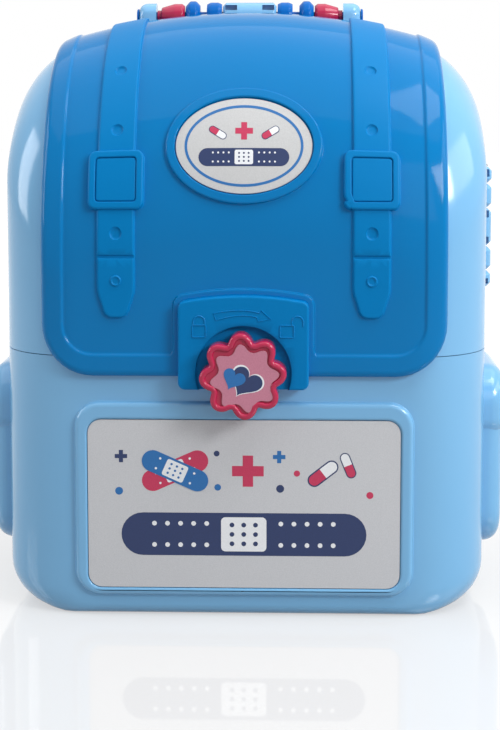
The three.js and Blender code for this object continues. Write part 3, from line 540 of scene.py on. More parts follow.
class FrontSurface:
    """Maps a flat drawing to the case's front: x across, s up along the surface, h outwards."""

    scale_points = 400
    farthest = 260.0
    farthest_ahead = 200.0
    seen_height = 4.0

    def __init__(self, form: CaseForm) -> None:
        """Prepares the length scale along the middle of the front.

        Args:
            form: The case's form.
        """
        self.form = form
        turns = np.linspace(0, math.pi / 2, self.scale_points)
        run = form.parting - form.front
        rise = form.crest - form.shoulder
        y = -run * np.cos(turns)
        z = rise * np.sin(turns)
        steps = np.hypot(np.diff(y), np.diff(z))
        self.lengths = form.shoulder + np.concatenate([[0], np.cumsum(steps)])
        self.angles = np.arctan2(z, -y)

    @property
    def end(self) -> float:
        """The length at the parting plane."""
        return float(self.lengths[-1])

    def point(self, x: np.ndarray, s: np.ndarray, h: np.ndarray) -> np.ndarray:
        """Places drawing points on the front.

        Args:
            x: Places across.
            s: Lengths up along the surface.
            h: Heights out from the form.

        Returns:
            One row of x, y, z for each point.
        """
        x, s, h = (np.asarray(v, float) for v in (x, s, h))
        angle = np.interp(s, self.lengths, self.angles)
        start_z = np.minimum(s, self.form.shoulder)
        along_y, along_z = -np.cos(angle), np.sin(angle)

        def outside(reach: np.ndarray) -> np.ndarray:
            """Tells whether the places at a reach along the rays lie outside the form."""
            y = self.form.parting + reach * along_y
            return self.form.excess(x, y, start_z + reach * along_z, -h) > 0

        reach = found_by_halving(outside, np.zeros_like(x), np.full_like(x, self.farthest))
        return np.stack([x, self.form.parting + reach * along_y, start_z + reach * along_z], axis=1)

    def lengths_at(self, x: np.ndarray, z: np.ndarray) -> np.ndarray:
        """Returns the lengths s at which the flap, seen straight on, has the heights z."""
        drawn = np.full_like(x, -self.seen_height)

        def outside(ahead: np.ndarray) -> np.ndarray:
            """Tells whether the places that far ahead of the parting plane lie outside."""
            return self.form.excess(x, self.form.parting - ahead, z, drawn) > 0

        near, far = np.full_like(x, -self.form.parting), np.full_like(x, self.farthest_ahead)
        angle = np.arctan2(z - self.form.shoulder, found_by_halving(outside, near, far))
        return np.where(z <= self.form.shoulder, z, np.interp(angle, self.angles, self.lengths))

    def length_at(self, x: float, z: float) -> float:
        """Returns the length s at which the flap, seen straight on, has the height z."""
        return float(self.lengths_at(np.array([float(x)]), np.array([float(z)]))[0])

    def wrap(self, bm: BMesh) -> None:
        """Bends a flat drawing, held as x, s and h, onto the front."""
        flat = np.array([vert.co for vert in bm.verts])
        for vert, place in zip(bm.verts, self.point(flat[:, 0], flat[:, 1], flat[:, 2])):
            vert.co = place


FRONT = FrontSurface(FORM)


# Outlines of raised forms


@dataclass(frozen=True)
class RoundedOutline:
    """A polygon with rounded corners, run counter-clockwise.

    Corners are x, s and radius. Edges that start at a fixed corner aren't drawn in.
    """

    corners: Spaces
    fixed: tuple[int, ...] = ()
    spacing: float = 3.0
    corner_steps: int = 8
    cuts: tuple[int, ...] = ()
    least_radius: float = 0.02
    least_bend: float = 1e-6

    def ring(self, inset: float) -> list[Point]:
        """Returns the outline's points, drawn in by the inset."""
        count = len(self.corners)
        places = [Vector(corner[:2]) for corner in self.corners]
        ways = [(places[(i + 1) % count] - places[i]).normalized() for i in range(count)]
        drawn = [self.drawn_corner(i, places[i], ways[i - 1], ways[i], inset) for i in range(count)]
        points: list[Point] = []
        for i in range(count):
            place, radius = drawn[i]
            bend = -ways[i - 1].angle_signed(ways[i])
            tangent = abs(radius * math.tan(bend / 2))
            side = 1 if bend > 0 else -1
            start = place - ways[i - 1] * tangent
            centre = start + Vector((-ways[i - 1].y, ways[i - 1].x)) * radius * side
            for step in range(self.corner_steps + 1):
                spoke = Matrix.Rotation(bend * step / self.corner_steps, 2) @ (start - centre)
                points.append((centre.x + spoke.x, centre.y + spoke.y))
            after, after_radius = drawn[(i + 1) % count]
            next_bend = abs(ways[i].angle_signed(ways[(i + 1) % count]))
            stop = after - ways[i] * abs(after_radius * math.tan(next_bend / 2))
            last = Vector(points[-1])
            whole = (places[(i + 1) % count] - places[i]).length
            cuts = self.cuts[i] if self.cuts else max(1, int(whole / self.spacing))
            points += [tuple(last.lerp(stop, step / cuts)) for step in range(1, cuts)]
        return points

    def drawn_corner(
        self, i: int, place: Vector, before: Vector, after: Vector, inset: float
    ) -> tuple[Vector, float]:
        """Draws one corner in.

        Args:
            i: The corner's number.
            place: Its place in the full outline.
            before: Direction of the edge that ends there.
            after: Direction of the edge that starts there.
            inset: How far the outline is drawn in.

        Returns:
            The corner's new place and radius.
        """
        fixed_before = (i - 1) % len(self.corners) in self.fixed
        fixed_after = i in self.fixed
        first = place + Vector((-before.y, before.x)) * (0.0 if fixed_before else inset)
        second = place + Vector((-after.y, after.x)) * (0.0 if fixed_after else inset)
        cross = before.x * after.y - before.y * after.x
        if abs(cross) < self.least_bend:
            return second, 0.0
        gap = second - first
        reach = (gap.x * after.y - gap.y * after.x) / cross
        sign = 1 if cross > 0 else -1
        radius = self.corners[i][2] - (0.0 if fixed_before or fixed_after else sign * inset)
        return first + before * reach, max(radius, self.least_radius)


def rounded_box(
    x0: float, x1: float, s0: float, s1: float, radius: float, cuts: tuple[int, int] = (8, 8)
) -> RoundedOutline:
    """Returns a rectangle's outline with rounded corners, cut across and up as often as told."""
    corners = ((x0, s0, radius), (x1, s0, radius), (x1, s1, radius), (x0, s1, radius))
    return RoundedOutline(corners, cuts=(cuts[0], cuts[1], cuts[0], cuts[1]))


@dataclass(frozen=True)
class OvalOutline:
    """An ellipse on the front, as it is seen straight on."""

    half_wide: float
    half_high: float
    centre: Point
    steps: int = 96

    def ring(self, inset: float) -> list[Point]:
        """Returns the outline's points, drawn in by the inset."""
        turns = np.arange(self.steps) * 2 * math.pi / self.steps
        x = self.centre[0] + (self.half_wide - inset) * np.cos(turns)
        z = self.centre[1] + (self.half_high - inset) * np.sin(turns)
        return list(zip(x.tolist(), FRONT.lengths_at(x, z).tolist()))


@dataclass(frozen=True)
class FormulaOutline:
    """An outline whose points come from a function of the inset."""

    drawn: Callable[[float], list[Point]]

    def ring(self, inset: float) -> list[Point]:
        """Returns the outline's points, drawn in by the inset."""
        return self.drawn(inset)


Outline = RoundedOutline | OvalOutline | FormulaOutline


def arc(centre: Point, radius: float, start: float, stop: float, steps: int = 10) -> list[Point]:
    """Returns points on an arc between two angles in degrees."""
    turns = [math.radians(start + (stop - start) * i / steps) for i in range(steps + 1)]
    return [(centre[0] + radius * math.cos(t), centre[1] + radius * math.sin(t)) for t in turns]


def curved(start: Vector, bow: Vector, stop: Vector, steps: int) -> list[Point]:
    """Returns points on the curve that leaves start towards bow and comes from bow to stop."""
    shares = [step / steps for step in range(steps + 1)]
    return [tuple(start.lerp(bow, s).lerp(bow.lerp(stop, s), s)) for s in shares]


def curve_through(a: Point, b: Point, c: Point) -> list[Point]:
    """Returns points on a smooth bow from a through b to c."""
    bow = Vector(b) * 2 - (Vector(a) + Vector(c)) / 2
    return curved(Vector(a), bow, Vector(c), 10)


def disc(radius: float, steps: int = 28) -> list[Point]:
    """Returns a circle's points."""
    turns = [2 * math.pi * i / steps for i in range(steps)]
    return [(radius * math.cos(t), radius * math.sin(t)) for t in turns]


def round_edge(edge: float, top: float, steps: int) -> list[Point]:
    """Returns a quarter round up to a top, as pairs of inset and height."""
    return [(edge * (1 - math.cos(t)), top - edge + edge * math.sin(t)) for t in quarter(steps)]


def soft_profile(
    base: float, top: float, edge: float, fillet: float = 0.0, steps: int = 4
) -> list[Point]:
    """Draws the section of a raised form's side, as pairs of inset and height.

    Args:
        base: Height of the face that carries the form.
        top: Height of the form's top.
        edge: Radius of the top edge.
        fillet: Radius at the foot.
        steps: Steps in each round.

    Returns:
        The section from below the carrying face to just past the top edge.
    """
    section = [(-fillet, base - HIDDEN_DEPTH)]
    for turn in quarter(steps) if fillet else ():
        section.append((-fillet + fillet * math.sin(turn), base + fillet * (1 - math.cos(turn))))
    return [*section, *round_edge(edge, top, steps), (edge + PAST_EDGE, top)]


def drop_profile(top: float, floor: float, edge: float) -> list[Point]:
    """Draws the section of a rim's inside, from its top down to a floor.

    Args:
        top: Height of the rim's top.
        floor: Height of the floor.
        edge: Radius of the top edge.

    Returns:
        Pairs of inset and height.
    """
    turned = [(-edge * (1 - math.sin(t)), top - edge * (1 - math.cos(t))) for t in quarter(4)]
    return [(-edge - PAST_EDGE, top), *turned, (0.0, floor)]


# Mesh making


def loft(
    bm: BMesh,
    rings: Sequence[Sequence[Space]],
    close_first: bool = True,
    close_last: bool = True,
    finish: int = 0,
) -> None:
    """Extrudes a ring of points from place to place, to one skin.

    Args:
        bm: The mesh.
        rings: Rings with equally many points.
        close_first: Whether the first ring gets a face.
        close_last: Whether the last ring gets a face.
        finish: Material index of the new faces.
    """
    loop = bmesh.ops.create_circle(bm, cap_ends=False, radius=1.0, segments=len(rings[0]))["verts"]
    for vert, place in zip(loop, rings[0]):
        vert.co = place
    first = edges = list(dict.fromkeys(edge for vert in loop for edge in vert.link_edges))
    faces: list[BMFace] = []
    for ring in rings[1:]:
        made = bmesh.ops.extrude_edge_only(bm, edges=edges)["geom"]
        faces += [part for part in made if isinstance(part, BMFace)]
        fresh = {part for part in made if isinstance(part, BMVert)}
        ends = [[edge.other_vert(vert) for edge in vert.link_edges] for vert in loop]
        loop = [next(end for end in near if end in fresh) for near in ends]
        for vert, place in zip(loop, ring):
            vert.co = place
        near = dict.fromkeys(edge for vert in loop for edge in vert.link_edges)
        edges = [edge for edge in near if fresh.issuperset(edge.verts)]
    if close_first:
        faces += bmesh.ops.edgeloop_fill(bm, edges=first)["faces"]
    if close_last:
        faces += bmesh.ops.edgeloop_fill(bm, edges=edges)["faces"]
    for face in faces:
        face.material_index = finish


def raised(bm: BMesh, *parts: tuple[Outline, Sequence[Point]], finish: int = 0) -> None:
    """Adds a closed raised form in the flat drawing.

    Args:
        bm: The mesh, in x, s and h.
        parts: The outlines that its skin follows, with equally many points, each with its
            section as pairs of inset and height.
        finish: Material index of the form.
    """
    steps = [(outline, inset, h) for outline, section in parts for inset, h in section]
    rings = [[(x, s, h) for x, s in outline.ring(inset)] for outline, inset, h in steps]
    loft(bm, rings, finish=finish)


def cut_plane(
    bm: BMesh, place: Space, normal: Space, below: bool = False, above: bool = False
) -> list[BMEdge]:
    """Cuts a mesh along a plane.

    Args:
        bm: The mesh.
        place: A point of the plane.
        normal: The plane's direction.
        below: Whether what lies behind the plane goes.
        above: Whether what lies ahead of the plane goes.

    Returns:
        The edges along the cut.
    """
    cut = bmesh.ops.bisect_plane(
        bm,
        geom=bm.verts[:] + bm.edges[:] + bm.faces[:],
        dist=SAME_PLACE,
        plane_co=place,
        plane_no=normal,
        clear_inner=below,
        clear_outer=above,
    )
    return [part for part in cut["geom_cut"] if isinstance(part, BMEdge)]


def cut_grid(bm: BMesh, step: float = GRID_STEP) -> None:
    """Cuts a flat drawing along x and s, so that it can bend."""
    bmesh.ops.triangulate(bm, faces=[face for face in bm.faces if len(face.verts) > 4])
    places = np.array([vert.co for vert in bm.verts])
    low, high = places.min(axis=0), places.max(axis=0)
    for axis, normal in ((0, (1, 0, 0)), (1, (0, 1, 0))):
        for k in range(math.ceil(low[axis] / step), math.floor(high[axis] / step) + 1):
            cut_plane(bm, tuple(k * step * part for part in normal), normal)


def add_box(bm: BMesh, size: Space, centre: Space) -> None:
    """Adds a box of that size round a centre."""
    box = bmesh.ops.create_cube(bm, size=1.0)["verts"]
    bmesh.ops.scale(bm, vec=size, verts=box)
    bmesh.ops.translate(bm, vec=centre, verts=box)


def tube(bm: BMesh, profile: Sequence[Point], axis: str, place: Space, steps: int = 48) -> None:
    """Spins a profile of radius and distance about an axis through a place.

    Args:
        bm: The mesh.
        profile: Pairs of radius and distance along the axis. It starts and ends on the axis
            or where it started.
        axis: The letter of the axis.
        place: A point on the axis.
        steps: Steps of the turn.
    """
    ways = {"X": Vector((1, 0, 0)), "Y": Vector((0, 1, 0)), "Z": Vector((0, 0, 1))}
    way = ways[axis]
    across = ways["Z"] if axis != "Z" else ways["X"]
    centre = Vector(place)
    verts = [bm.verts.new(centre + way * along + across * radius) for radius, along in profile]
    edges = [bm.edges.new(pair) for pair in zip(verts, verts[1:])]
    bmesh.ops.spin(
        bm,
        geom=verts + edges,
        cent=centre,
        axis=way,
        angle=2 * math.pi,
        steps=steps,
        use_merge=True,
    )


def rounded_profile(profile: Sequence[Space]) -> list[Point]:
    """Rounds the corners of a spun profile.

    Args:
        profile: Triples of radius, distance along the axis and corner radius.

    Returns:
        Pairs of radius and distance.
    """
    points: list[Point] = []
    last = len(profile) - 1
    for i, (radius, along, corner) in enumerate(profile):
        here = Vector((radius, along))
        if corner == 0 or i in (0, last):
            points.append((radius, along))
            continue
        back = (Vector(profile[i - 1][:2]) - here).normalized()
        ahead = (Vector(profile[i + 1][:2]) - here).normalized()
        half = back.angle(ahead) / 2
        reach = corner / math.tan(half)
        points += curved(here + back * reach, here, here + ahead * reach, 4)
    return points


def tidy_normals(bm: BMesh) -> None:
    """Merges doubles and turns the faces of each closed part outwards."""
    bmesh.ops.remove_doubles(bm, verts=bm.verts[:], dist=SAME_PLACE)
    bmesh.ops.recalc_face_normals(bm, faces=bm.faces[:])
    left = dict.fromkeys(bm.faces)
    while left:
        part = front = dict.fromkeys([next(iter(left))])
        while front:
            near = (n for face in front for edge in face.edges for n in edge.link_faces)
            front = dict.fromkeys(face for face in near if face not in part)
            part.update(front)
        left = {face: None for face in left if face not in part}
        volume = sum(f.calc_center_median().dot(f.normal) * f.calc_area() for f in part)
        if volume < 0:
            bmesh.ops.reverse_faces(bm, faces=list(part))


def smooth(piece: Object, crease: float = CREASE) -> None:
    """Shades a piece smooth but for the edges past an angle in degrees."""
    piece.data.shade_smooth()
    piece.data.set_sharp_from_angle(angle=math.radians(crease))


def to_object(bm: BMesh, name: str, materials: Sequence[Material], crease: float = CREASE) -> Object:
    """Makes an object of a mesh in millimetres.

    Args:
        bm: The mesh, which is used up.
        name: The object's name.
        materials: Its materials in the order of the faces' indices.
        crease: Angle in degrees past which an edge stays sharp.

    Returns:
        The object, at the origin, in metres.
    """
    bmesh.ops.scale(bm, vec=(MM, MM, MM), verts=bm.verts[:])
    mesh = bpy.data.meshes.new(name)
    bm.to_mesh(mesh)
    bm.free()
    made = bpy.data.objects.new(name, mesh)
    smooth(made, crease)
    bpy.context.scene.collection.objects.link(made)
    for material in materials:
        mesh.materials.append(material)
    return made


def to_solid(bm: BMesh, name: str, materials: Sequence[Material], crease: float = CREASE) -> Object:
    """Makes an object of closed parts whose faces may point either way, as to_object does."""
    tidy_normals(bm)
    return to_object(bm, name, materials, crease)


def to_front(bm: BMesh, name: str, materials: Sequence[Material], crease: float = CREASE) -> Object:
    """Bends a flat drawing onto the front and makes its object, as to_object does."""
    FRONT.wrap(bm)
    return to_solid(bm, name, materials, crease)


def carve(target: Object, tool: Object, how: Carve) -> None:
    """Cuts a tool out of a piece or joins it to the piece, and removes the tool."""
    modifier = target.modifiers.new("carve", "BOOLEAN")
    modifier.operation = how.value
    modifier.solver = "EXACT"
    modifier.object = tool
    settle(target)
    bpy.data.objects.remove(tool)


def settle(piece: Object) -> None:
    """Applies the piece's modifiers."""
    shape = piece.evaluated_get(bpy.context.evaluated_depsgraph_get())
    mesh = bpy.data.meshes.new_from_object(shape)
    piece.modifiers.clear()
    piece.data = mesh


def soften(piece: Object, width: float) -> None:
    """Breaks the piece's sharp edges with a small round of that width in millimetres."""
    bevel = piece.modifiers.new("soft_edges", "BEVEL")
    bevel.width = width * MM
    bevel.segments = 2
    bevel.limit_method = "ANGLE"
    bevel.angle_limit = math.radians(HARD_CREASE)
    bevel.use_clamp_overlap = True


def settle_piece(piece: Object, body: str, slot: Slot, *nodes: str) -> None:
    """Rides a piece on its body and hides the nodes that it stands for.

    Args:
        piece: The object.
        body: Name of the body that carries it.
        slot: Its material slot; not used.
        nodes: CAD nodes that it replaces.
    """
    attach(piece, body)
    if nodes:
        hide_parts(*nodes)
    log.info("%s rides on %s", piece.name, body)


# Shells


@dataclass
class BodyShells:
    """Rear shell, lower front shell and door, lofted from the case's form."""

    finishes: FinishSet
    wall: float = 2.4
    seam: float = 127.0
    part_gap: float = 0.35
    well_half_width: float = 49.0
    well_rear: float = 57.0
    well_floor: float = 250.0
    well_corner: float = 7.0
    tower_x: float = 99.0
    tower_heights: tuple[float, float] = (17.0, 108.0)
    tower_radius: float = 4.5
    tower_web: float = 2.0
    web_margin: float = 24.0
    screw_room: float = 3.4
    screw_seat: float = 15.0
    bore_radius: float = 1.5
    tower_length: float = 30.0
    bore_span: Point = (-4.0, 12.0)
    slot_half_length: float = 12.5
    slot_half_height: float = 3.2
    slot_span: Point = (-80.0, -70.0)
    edge: float = 0.45
    floor_fillet: float = 3.0
    lug_width: float = 9.0
    lug_radius: float = 6.8
    lug_edge: float = 4.6
    lug_sink: float = 1.5
    lug_foot: float = 12.0
    lug_flare: float = 1.6
    flare_height: float = 7.0
    flare_waist: float = 0.4
    hinge_x: float = 121.9
    hinge_middle: float = 183.0
    hinge_half_length: float = 31.3
    knuckle_radius: float = 4.4
    knuckle_edge: float = 2.1
    knuckle_gap: float = 0.5
    leaf_reach: float = 16.0
    leaf_margin: float = 3.0
    leaf_thickness: float = 1.5
    # Pairs of inset and height from the leaf's face
    leaf_round: Points = ((0.0, -0.9), (0.25, -0.35), (0.8, -0.05), (1.4, 0.0))
    rear_knuckles: Points = ((-9.7, 9.7), (22.9, 31.3), (-31.3, -22.9))
    door_knuckles: Points = ((10.2, 22.4), (-22.4, -10.2))
    open_spans: Points = ((26.2, 30.0), (5.0, 8.6), (-8.6, -5.0), (-29.6, -26.8))
    window_width: float = 3.2
    window_shift: float = 1.3
    window_back: float = 0.4

    def build(self) -> None:
        """Builds the three shells."""
        self.lower()
        self.door()
        self.rear()

    def front_skin(self) -> BMesh:
        """Lofts the front half of the form, open at the parting plane."""
        depths = FORM.front_depths(0.0)
        depths[-1] = FORM.parting - self.part_gap
        bm = bmesh.new()
        loft(bm, [FORM.outline(y, 0.0) for y in depths], close_last=False)
        return bm

    def thickened(self, bm: BMesh, name: str) -> Object:
        """Gives an outer skin its wall, inwards."""
        tidy_normals(bm)
        inside = Vector((0, 20, 100))
        outward = sum(
            face.calc_area() * face.normal.dot(face.calc_center_median() - inside)
            for face in bm.faces
        )
        if outward < 0:
            bmesh.ops.reverse_faces(bm, faces=bm.faces[:])
        piece = to_object(bm, name, [self.finishes.body])
        wall = piece.modifiers.new("wall", "SOLIDIFY")
        wall.thickness = self.wall * MM
        wall.offset = -1.0
        wall.use_even_offset = True
        settle(piece)
        return piece

    def finished(self, piece: Object, body: str, node: str) -> None:
        """Smooths a shell, softens its edges and settles it in place of its node."""
        smooth(piece)
        soften(piece, self.edge)
        settle_piece(piece, body, Slot.BODY, node)

    def cylinders(self, name: str, radius: float, y0: float, y1: float) -> Object:
        """Makes four cylinders along the screw towers."""
        bm = bmesh.new()
        profile = [(0, y0), (radius, y0), (radius, y1), (0, y1)]
        for side, height in product((-1, 1), self.tower_heights):
            tube(bm, profile, "Y", (side * self.tower_x, 0, height), 28)
        return to_solid(bm, name, [self.finishes.body])

    def webs(self, name: str, y0: float, y1: float) -> Object:
        """Makes the webs from the screw towers to the side walls."""
        bm = bmesh.new()
        outer = FORM.half_width - self.wall * 1.5
        size = (outer - self.tower_x, y1 - y0, self.tower_web)
        for side, height in product((-1, 1), self.tower_heights):
            add_box(bm, size, (side * (outer + self.tower_x) / 2, (y0 + y1) / 2, height))
        return to_object(bm, name, [self.finishes.body])

    def lower(self) -> None:
        """Builds the lower front shell with its label frame, key slot and screw towers."""
        bm = self.front_skin()
        cut_plane(bm, (0, 0, self.seam), (0, 0, 1), above=True)
        piece = self.thickened(bm, "lower_front_moulding")
        width, height = self.slot_half_length, self.slot_half_height
        outline = rounded_box(-width, width, LOCK_HEIGHT - height, LOCK_HEIGHT + height, height - 0.1)
        slot = [[(x, y, s) for x, s in outline.ring(0.0)] for y in self.slot_span]
        carve(piece, self.solid("slot_tool", slot), Carve.CUT)
        back = FORM.parting - self.part_gap
        front = FORM.parting - self.tower_length
        carve(piece, self.webs("webs", front, back), Carve.JOIN)
        carve(piece, self.cylinders("towers", self.tower_radius, front, back), Carve.JOIN)
        carve(piece, self.cylinders("bores", self.bore_radius, *self.bore_span), Carve.CUT)
        self.finished(piece, "case", "lower_front_shell")
        LabelFrame(self.finishes).build()

    def door(self) -> None:
        """Builds the door: a dish with its own floor."""
        bm = self.front_skin()
        low = self.seam + self.part_gap
        cut_plane(bm, (0, 0, low), (0, 0, 1), below=True)
        rim = [e for e in bm.edges if e.is_boundary and all(v.co.z < low + 0.01 for v in e.verts)]
        ends = [v for v in dict.fromkeys(v for e in rim for v in e.verts) if v.co.y > FORM.parting - 1]
        rim.append(bm.edges.new(ends))
        bmesh.ops.contextual_create(bm, geom=rim)
        piece = self.thickened(bm, "door_moulding")
        self.hinge_side(piece, False)
        self.finished(piece, "door", "door_shell")

    def rear(self) -> None:
        """Builds the rear shell with the hand well, handle lugs and its screw towers."""
        depths = FORM.rear_depths(0.0)
        piece = self.solid("rear_moulding", [FORM.outline(y, 0.0) for y in depths])
        inner = [FORM.outline(y, self.wall) for y in FORM.rear_depths(self.wall)]
        hollow = self.solid("hollow", [[(x, y - 2, z) for x, y, z in inner[0]], *inner])
        carve(hollow, self.well("well_room", self.wall), Carve.CUT)
        carve(piece, hollow, Carve.CUT)
        back = FORM.rear - self.wall / 2
        parting = FORM.parting
        carve(piece, self.lugs(), Carve.JOIN)
        carve(piece, self.well("well", 0.0), Carve.CUT)
        carve(piece, self.webs("webs", parting + 0.01, FORM.rear - self.web_margin), Carve.JOIN)
        carve(piece, self.cylinders("towers", self.tower_radius, parting + 0.01, back), Carve.JOIN)
        rooms = self.cylinders("rooms", self.screw_room, self.screw_seat, FORM.rear + 2)
        carve(piece, rooms, Carve.CUT)
        self.hinge_side(piece, True)
        self.finished(piece, "case", "rear_shell")

    def solid(self, name: str, rings: Sequence[Sequence[Space]]) -> Object:
        """Makes a closed solid through rings of points."""
        bm = bmesh.new()
        loft(bm, rings)
        return to_solid(bm, name, [self.finishes.body])

    def well(self, name: str, grow: float) -> Object:
        """Makes the room of the hand well, open upwards and round at the floor.

        Args:
            name: The object's name.
            grow: How much larger it is than the well, all round.

        Returns:
            The solid to cut with.
        """
        x = self.well_half_width + grow
        front, rear = FORM.parting + self.wall - grow, self.well_rear + grow
        corner = self.well_corner + grow
        ahead = ((-x, front, corner / 2), (x, front, corner / 2))
        outline = RoundedOutline((*ahead, (x, rear, corner), (-x, rear, corner)))
        floor, fillet = self.well_floor - grow, self.floor_fillet
        section = [(fillet * (1 - math.sin(t)), floor + fillet * (1 - math.cos(t))) for t in quarter(6)]
        section.append((0.0, FORM.crest + 30))
        return self.solid(name, [[(*point, z) for point in outline.ring(inset)] for inset, z in section])

    def lugs(self) -> Object:
        """Makes the two ears that carry the handle's rod, round at their outer tops."""
        bm = bmesh.new()
        inner, outer = self.well_half_width, self.well_half_width + self.lug_width
        section = [(0.8, inner - self.lug_sink), (0.0, inner)]
        section += round_edge(self.lug_edge, outer, 6)
        foot = FORM.crest - self.lug_foot
        for side in (-1, 1):
            rings = []
            for inset, along in section:
                radius = self.lug_radius - inset * 0.8
                flare, waist = radius + self.lug_flare, radius + self.flare_waist
                top = arc((0.0, HANDLE_HEIGHT), radius, 180, 0, 20)
                rise = foot + self.flare_height
                ring = [(-flare, foot), (-waist, rise), *top, (waist, rise), (flare, foot)]
                rings.append([(side * along, HANDLE_Y + y, z) for y, z in ring])
            loft(bm, rings)
        return to_solid(bm, "lugs", [self.finishes.body])

    def hinge_side(self, piece: Object, is_rear: bool) -> None:
        """Adds a shell's hinge leaf and knuckles, and clears room for the other shell's.

        Args:
            piece: The shell.
            is_rear: Whether it is the rear shell, and not the door.
        """
        near = FORM.parting if is_rear else FORM.parting - self.part_gap - self.leaf_reach
        far = near + self.leaf_reach
        own = self.rear_knuckles if is_rear else self.door_knuckles
        others = self.door_knuckles if is_rear else self.rear_knuckles
        middle, half = self.hinge_middle, self.hinge_half_length + self.leaf_margin
        leaf = rounded_box(near, far, middle - half, middle + half, self.leaf_margin)
        face = FORM.half_width + self.leaf_thickness
        section = [(0.0, FORM.half_width - self.wall + 0.3)]
        section += [(inset, face + depth) for inset, depth in self.leaf_round]
        strip = self.solid("leaf", [[(x, *point) for point in leaf.ring(inset)] for inset, x in section])
        carve(piece, strip, Carve.JOIN)
        gap, edge, full = self.knuckle_gap, self.knuckle_edge, self.knuckle_radius
        rooms, barrels, hollows = bmesh.new(), bmesh.new(), bmesh.new()
        place = (self.hinge_x, FORM.parting, middle)
        for low, high in others:
            radius, start, end = full + gap, low - gap, high + gap
            tube(rooms, [(0, start), (radius, start), (radius, end), (0, end)], "Z", place)
        neck, neck_round, shoulder_round = full - edge, 0.5, 1.4
        for low, high in own:
            corners = [(0, low, 0), (neck, low, neck_round), (full, low + edge, shoulder_round)]
            corners += [(full, high - edge, shoulder_round), (neck, high, neck_round), (0, high, 0)]
            tube(barrels, rounded_profile(corners), "Z", place)
        x, y = self.hinge_x + self.window_shift, FORM.parting - full / 2 - self.window_back
        for low, high in self.open_spans if is_rear else ():
            centre = (x, y, middle + (low + high) / 2)
            add_box(hollows, (self.window_width, full, high - low), centre)
        for bm, name, how in (
            (rooms, "rooms", Carve.CUT),
            (barrels, "barrels", Carve.JOIN),
            (hollows, "hollows", Carve.CUT),
        ):
            if bm.verts:
                carve(piece, to_solid(bm, name, [self.finishes.body]), how)


@dataclass
class LabelFrame:
    """Raised frame round the label, moulded on the lower front shell."""

    finishes: FinishSet
    half_width: float = 81.3
    bottom: float = 10.5
    top: float = 105.3
    corner: float = 12.0
    height: float = 2.6
    inner_half_width: float = 75.3
    inner_bottom: float = 14.4
    inner_top: float = 97.0
    inner_corner: float = 6.8
    floor: float = 1.0
    edge: float = 2.3
    inner_edge: float = 1.2
    foot: float = 0.5
    grid_step: float = 4.0

    def build(self) -> None:
        """Builds the frame."""
        bm = bmesh.new()
        cuts = (48, 28)
        width, inside = self.half_width, self.inner_half_width
        outer = rounded_box(-width, width, self.bottom, self.top, self.corner, cuts)
        inner = rounded_box(-inside, inside, self.inner_bottom, self.inner_top, self.inner_corner, cuts)
        section = soft_profile(0.0, self.height, self.edge, self.foot, 6)
        drop = drop_profile(self.height, self.floor, self.inner_edge)
        raised(bm, (outer, section), (inner, drop))
        cut_grid(bm, self.grid_step)
        settle_piece(to_front(bm, "label_frame", [self.finishes.body]), "case", Slot.BODY)


# Front flap


def ridge(bm: BMesh, path: Sequence[Point], h: float, radius: float, closed: bool) -> None:
    """Adds a half-round ridge along a path in the flat drawing.

    Args:
        bm: The mesh, in x, s and h.
        path: Points of x and s.
        h: Height of the face that carries the ridge.
        radius: Radius of the ridge.
        closed: Whether the path ends where it starts.
    """
    places = [Vector((*point, 0.0)) for point in path]
    count, sides = len(places), 10
    rings = []
    for i, place in enumerate(places):
        before = places[i - 1] if i or closed else place
        after = places[(i + 1) % count] if i < count - 1 or closed else place
        way = (after - before).normalized()
        across = Vector((-way.y, way.x, 0.0))
        spokes = disc(radius, sides)
        spots = [(place + across * reach, h + rise) for reach, rise in spokes]
        rings.append([(spot.x, spot.y, height) for spot, height in spots])
    if closed:
        rings.append(rings[0])
    loft(bm, rings, not closed, not closed)


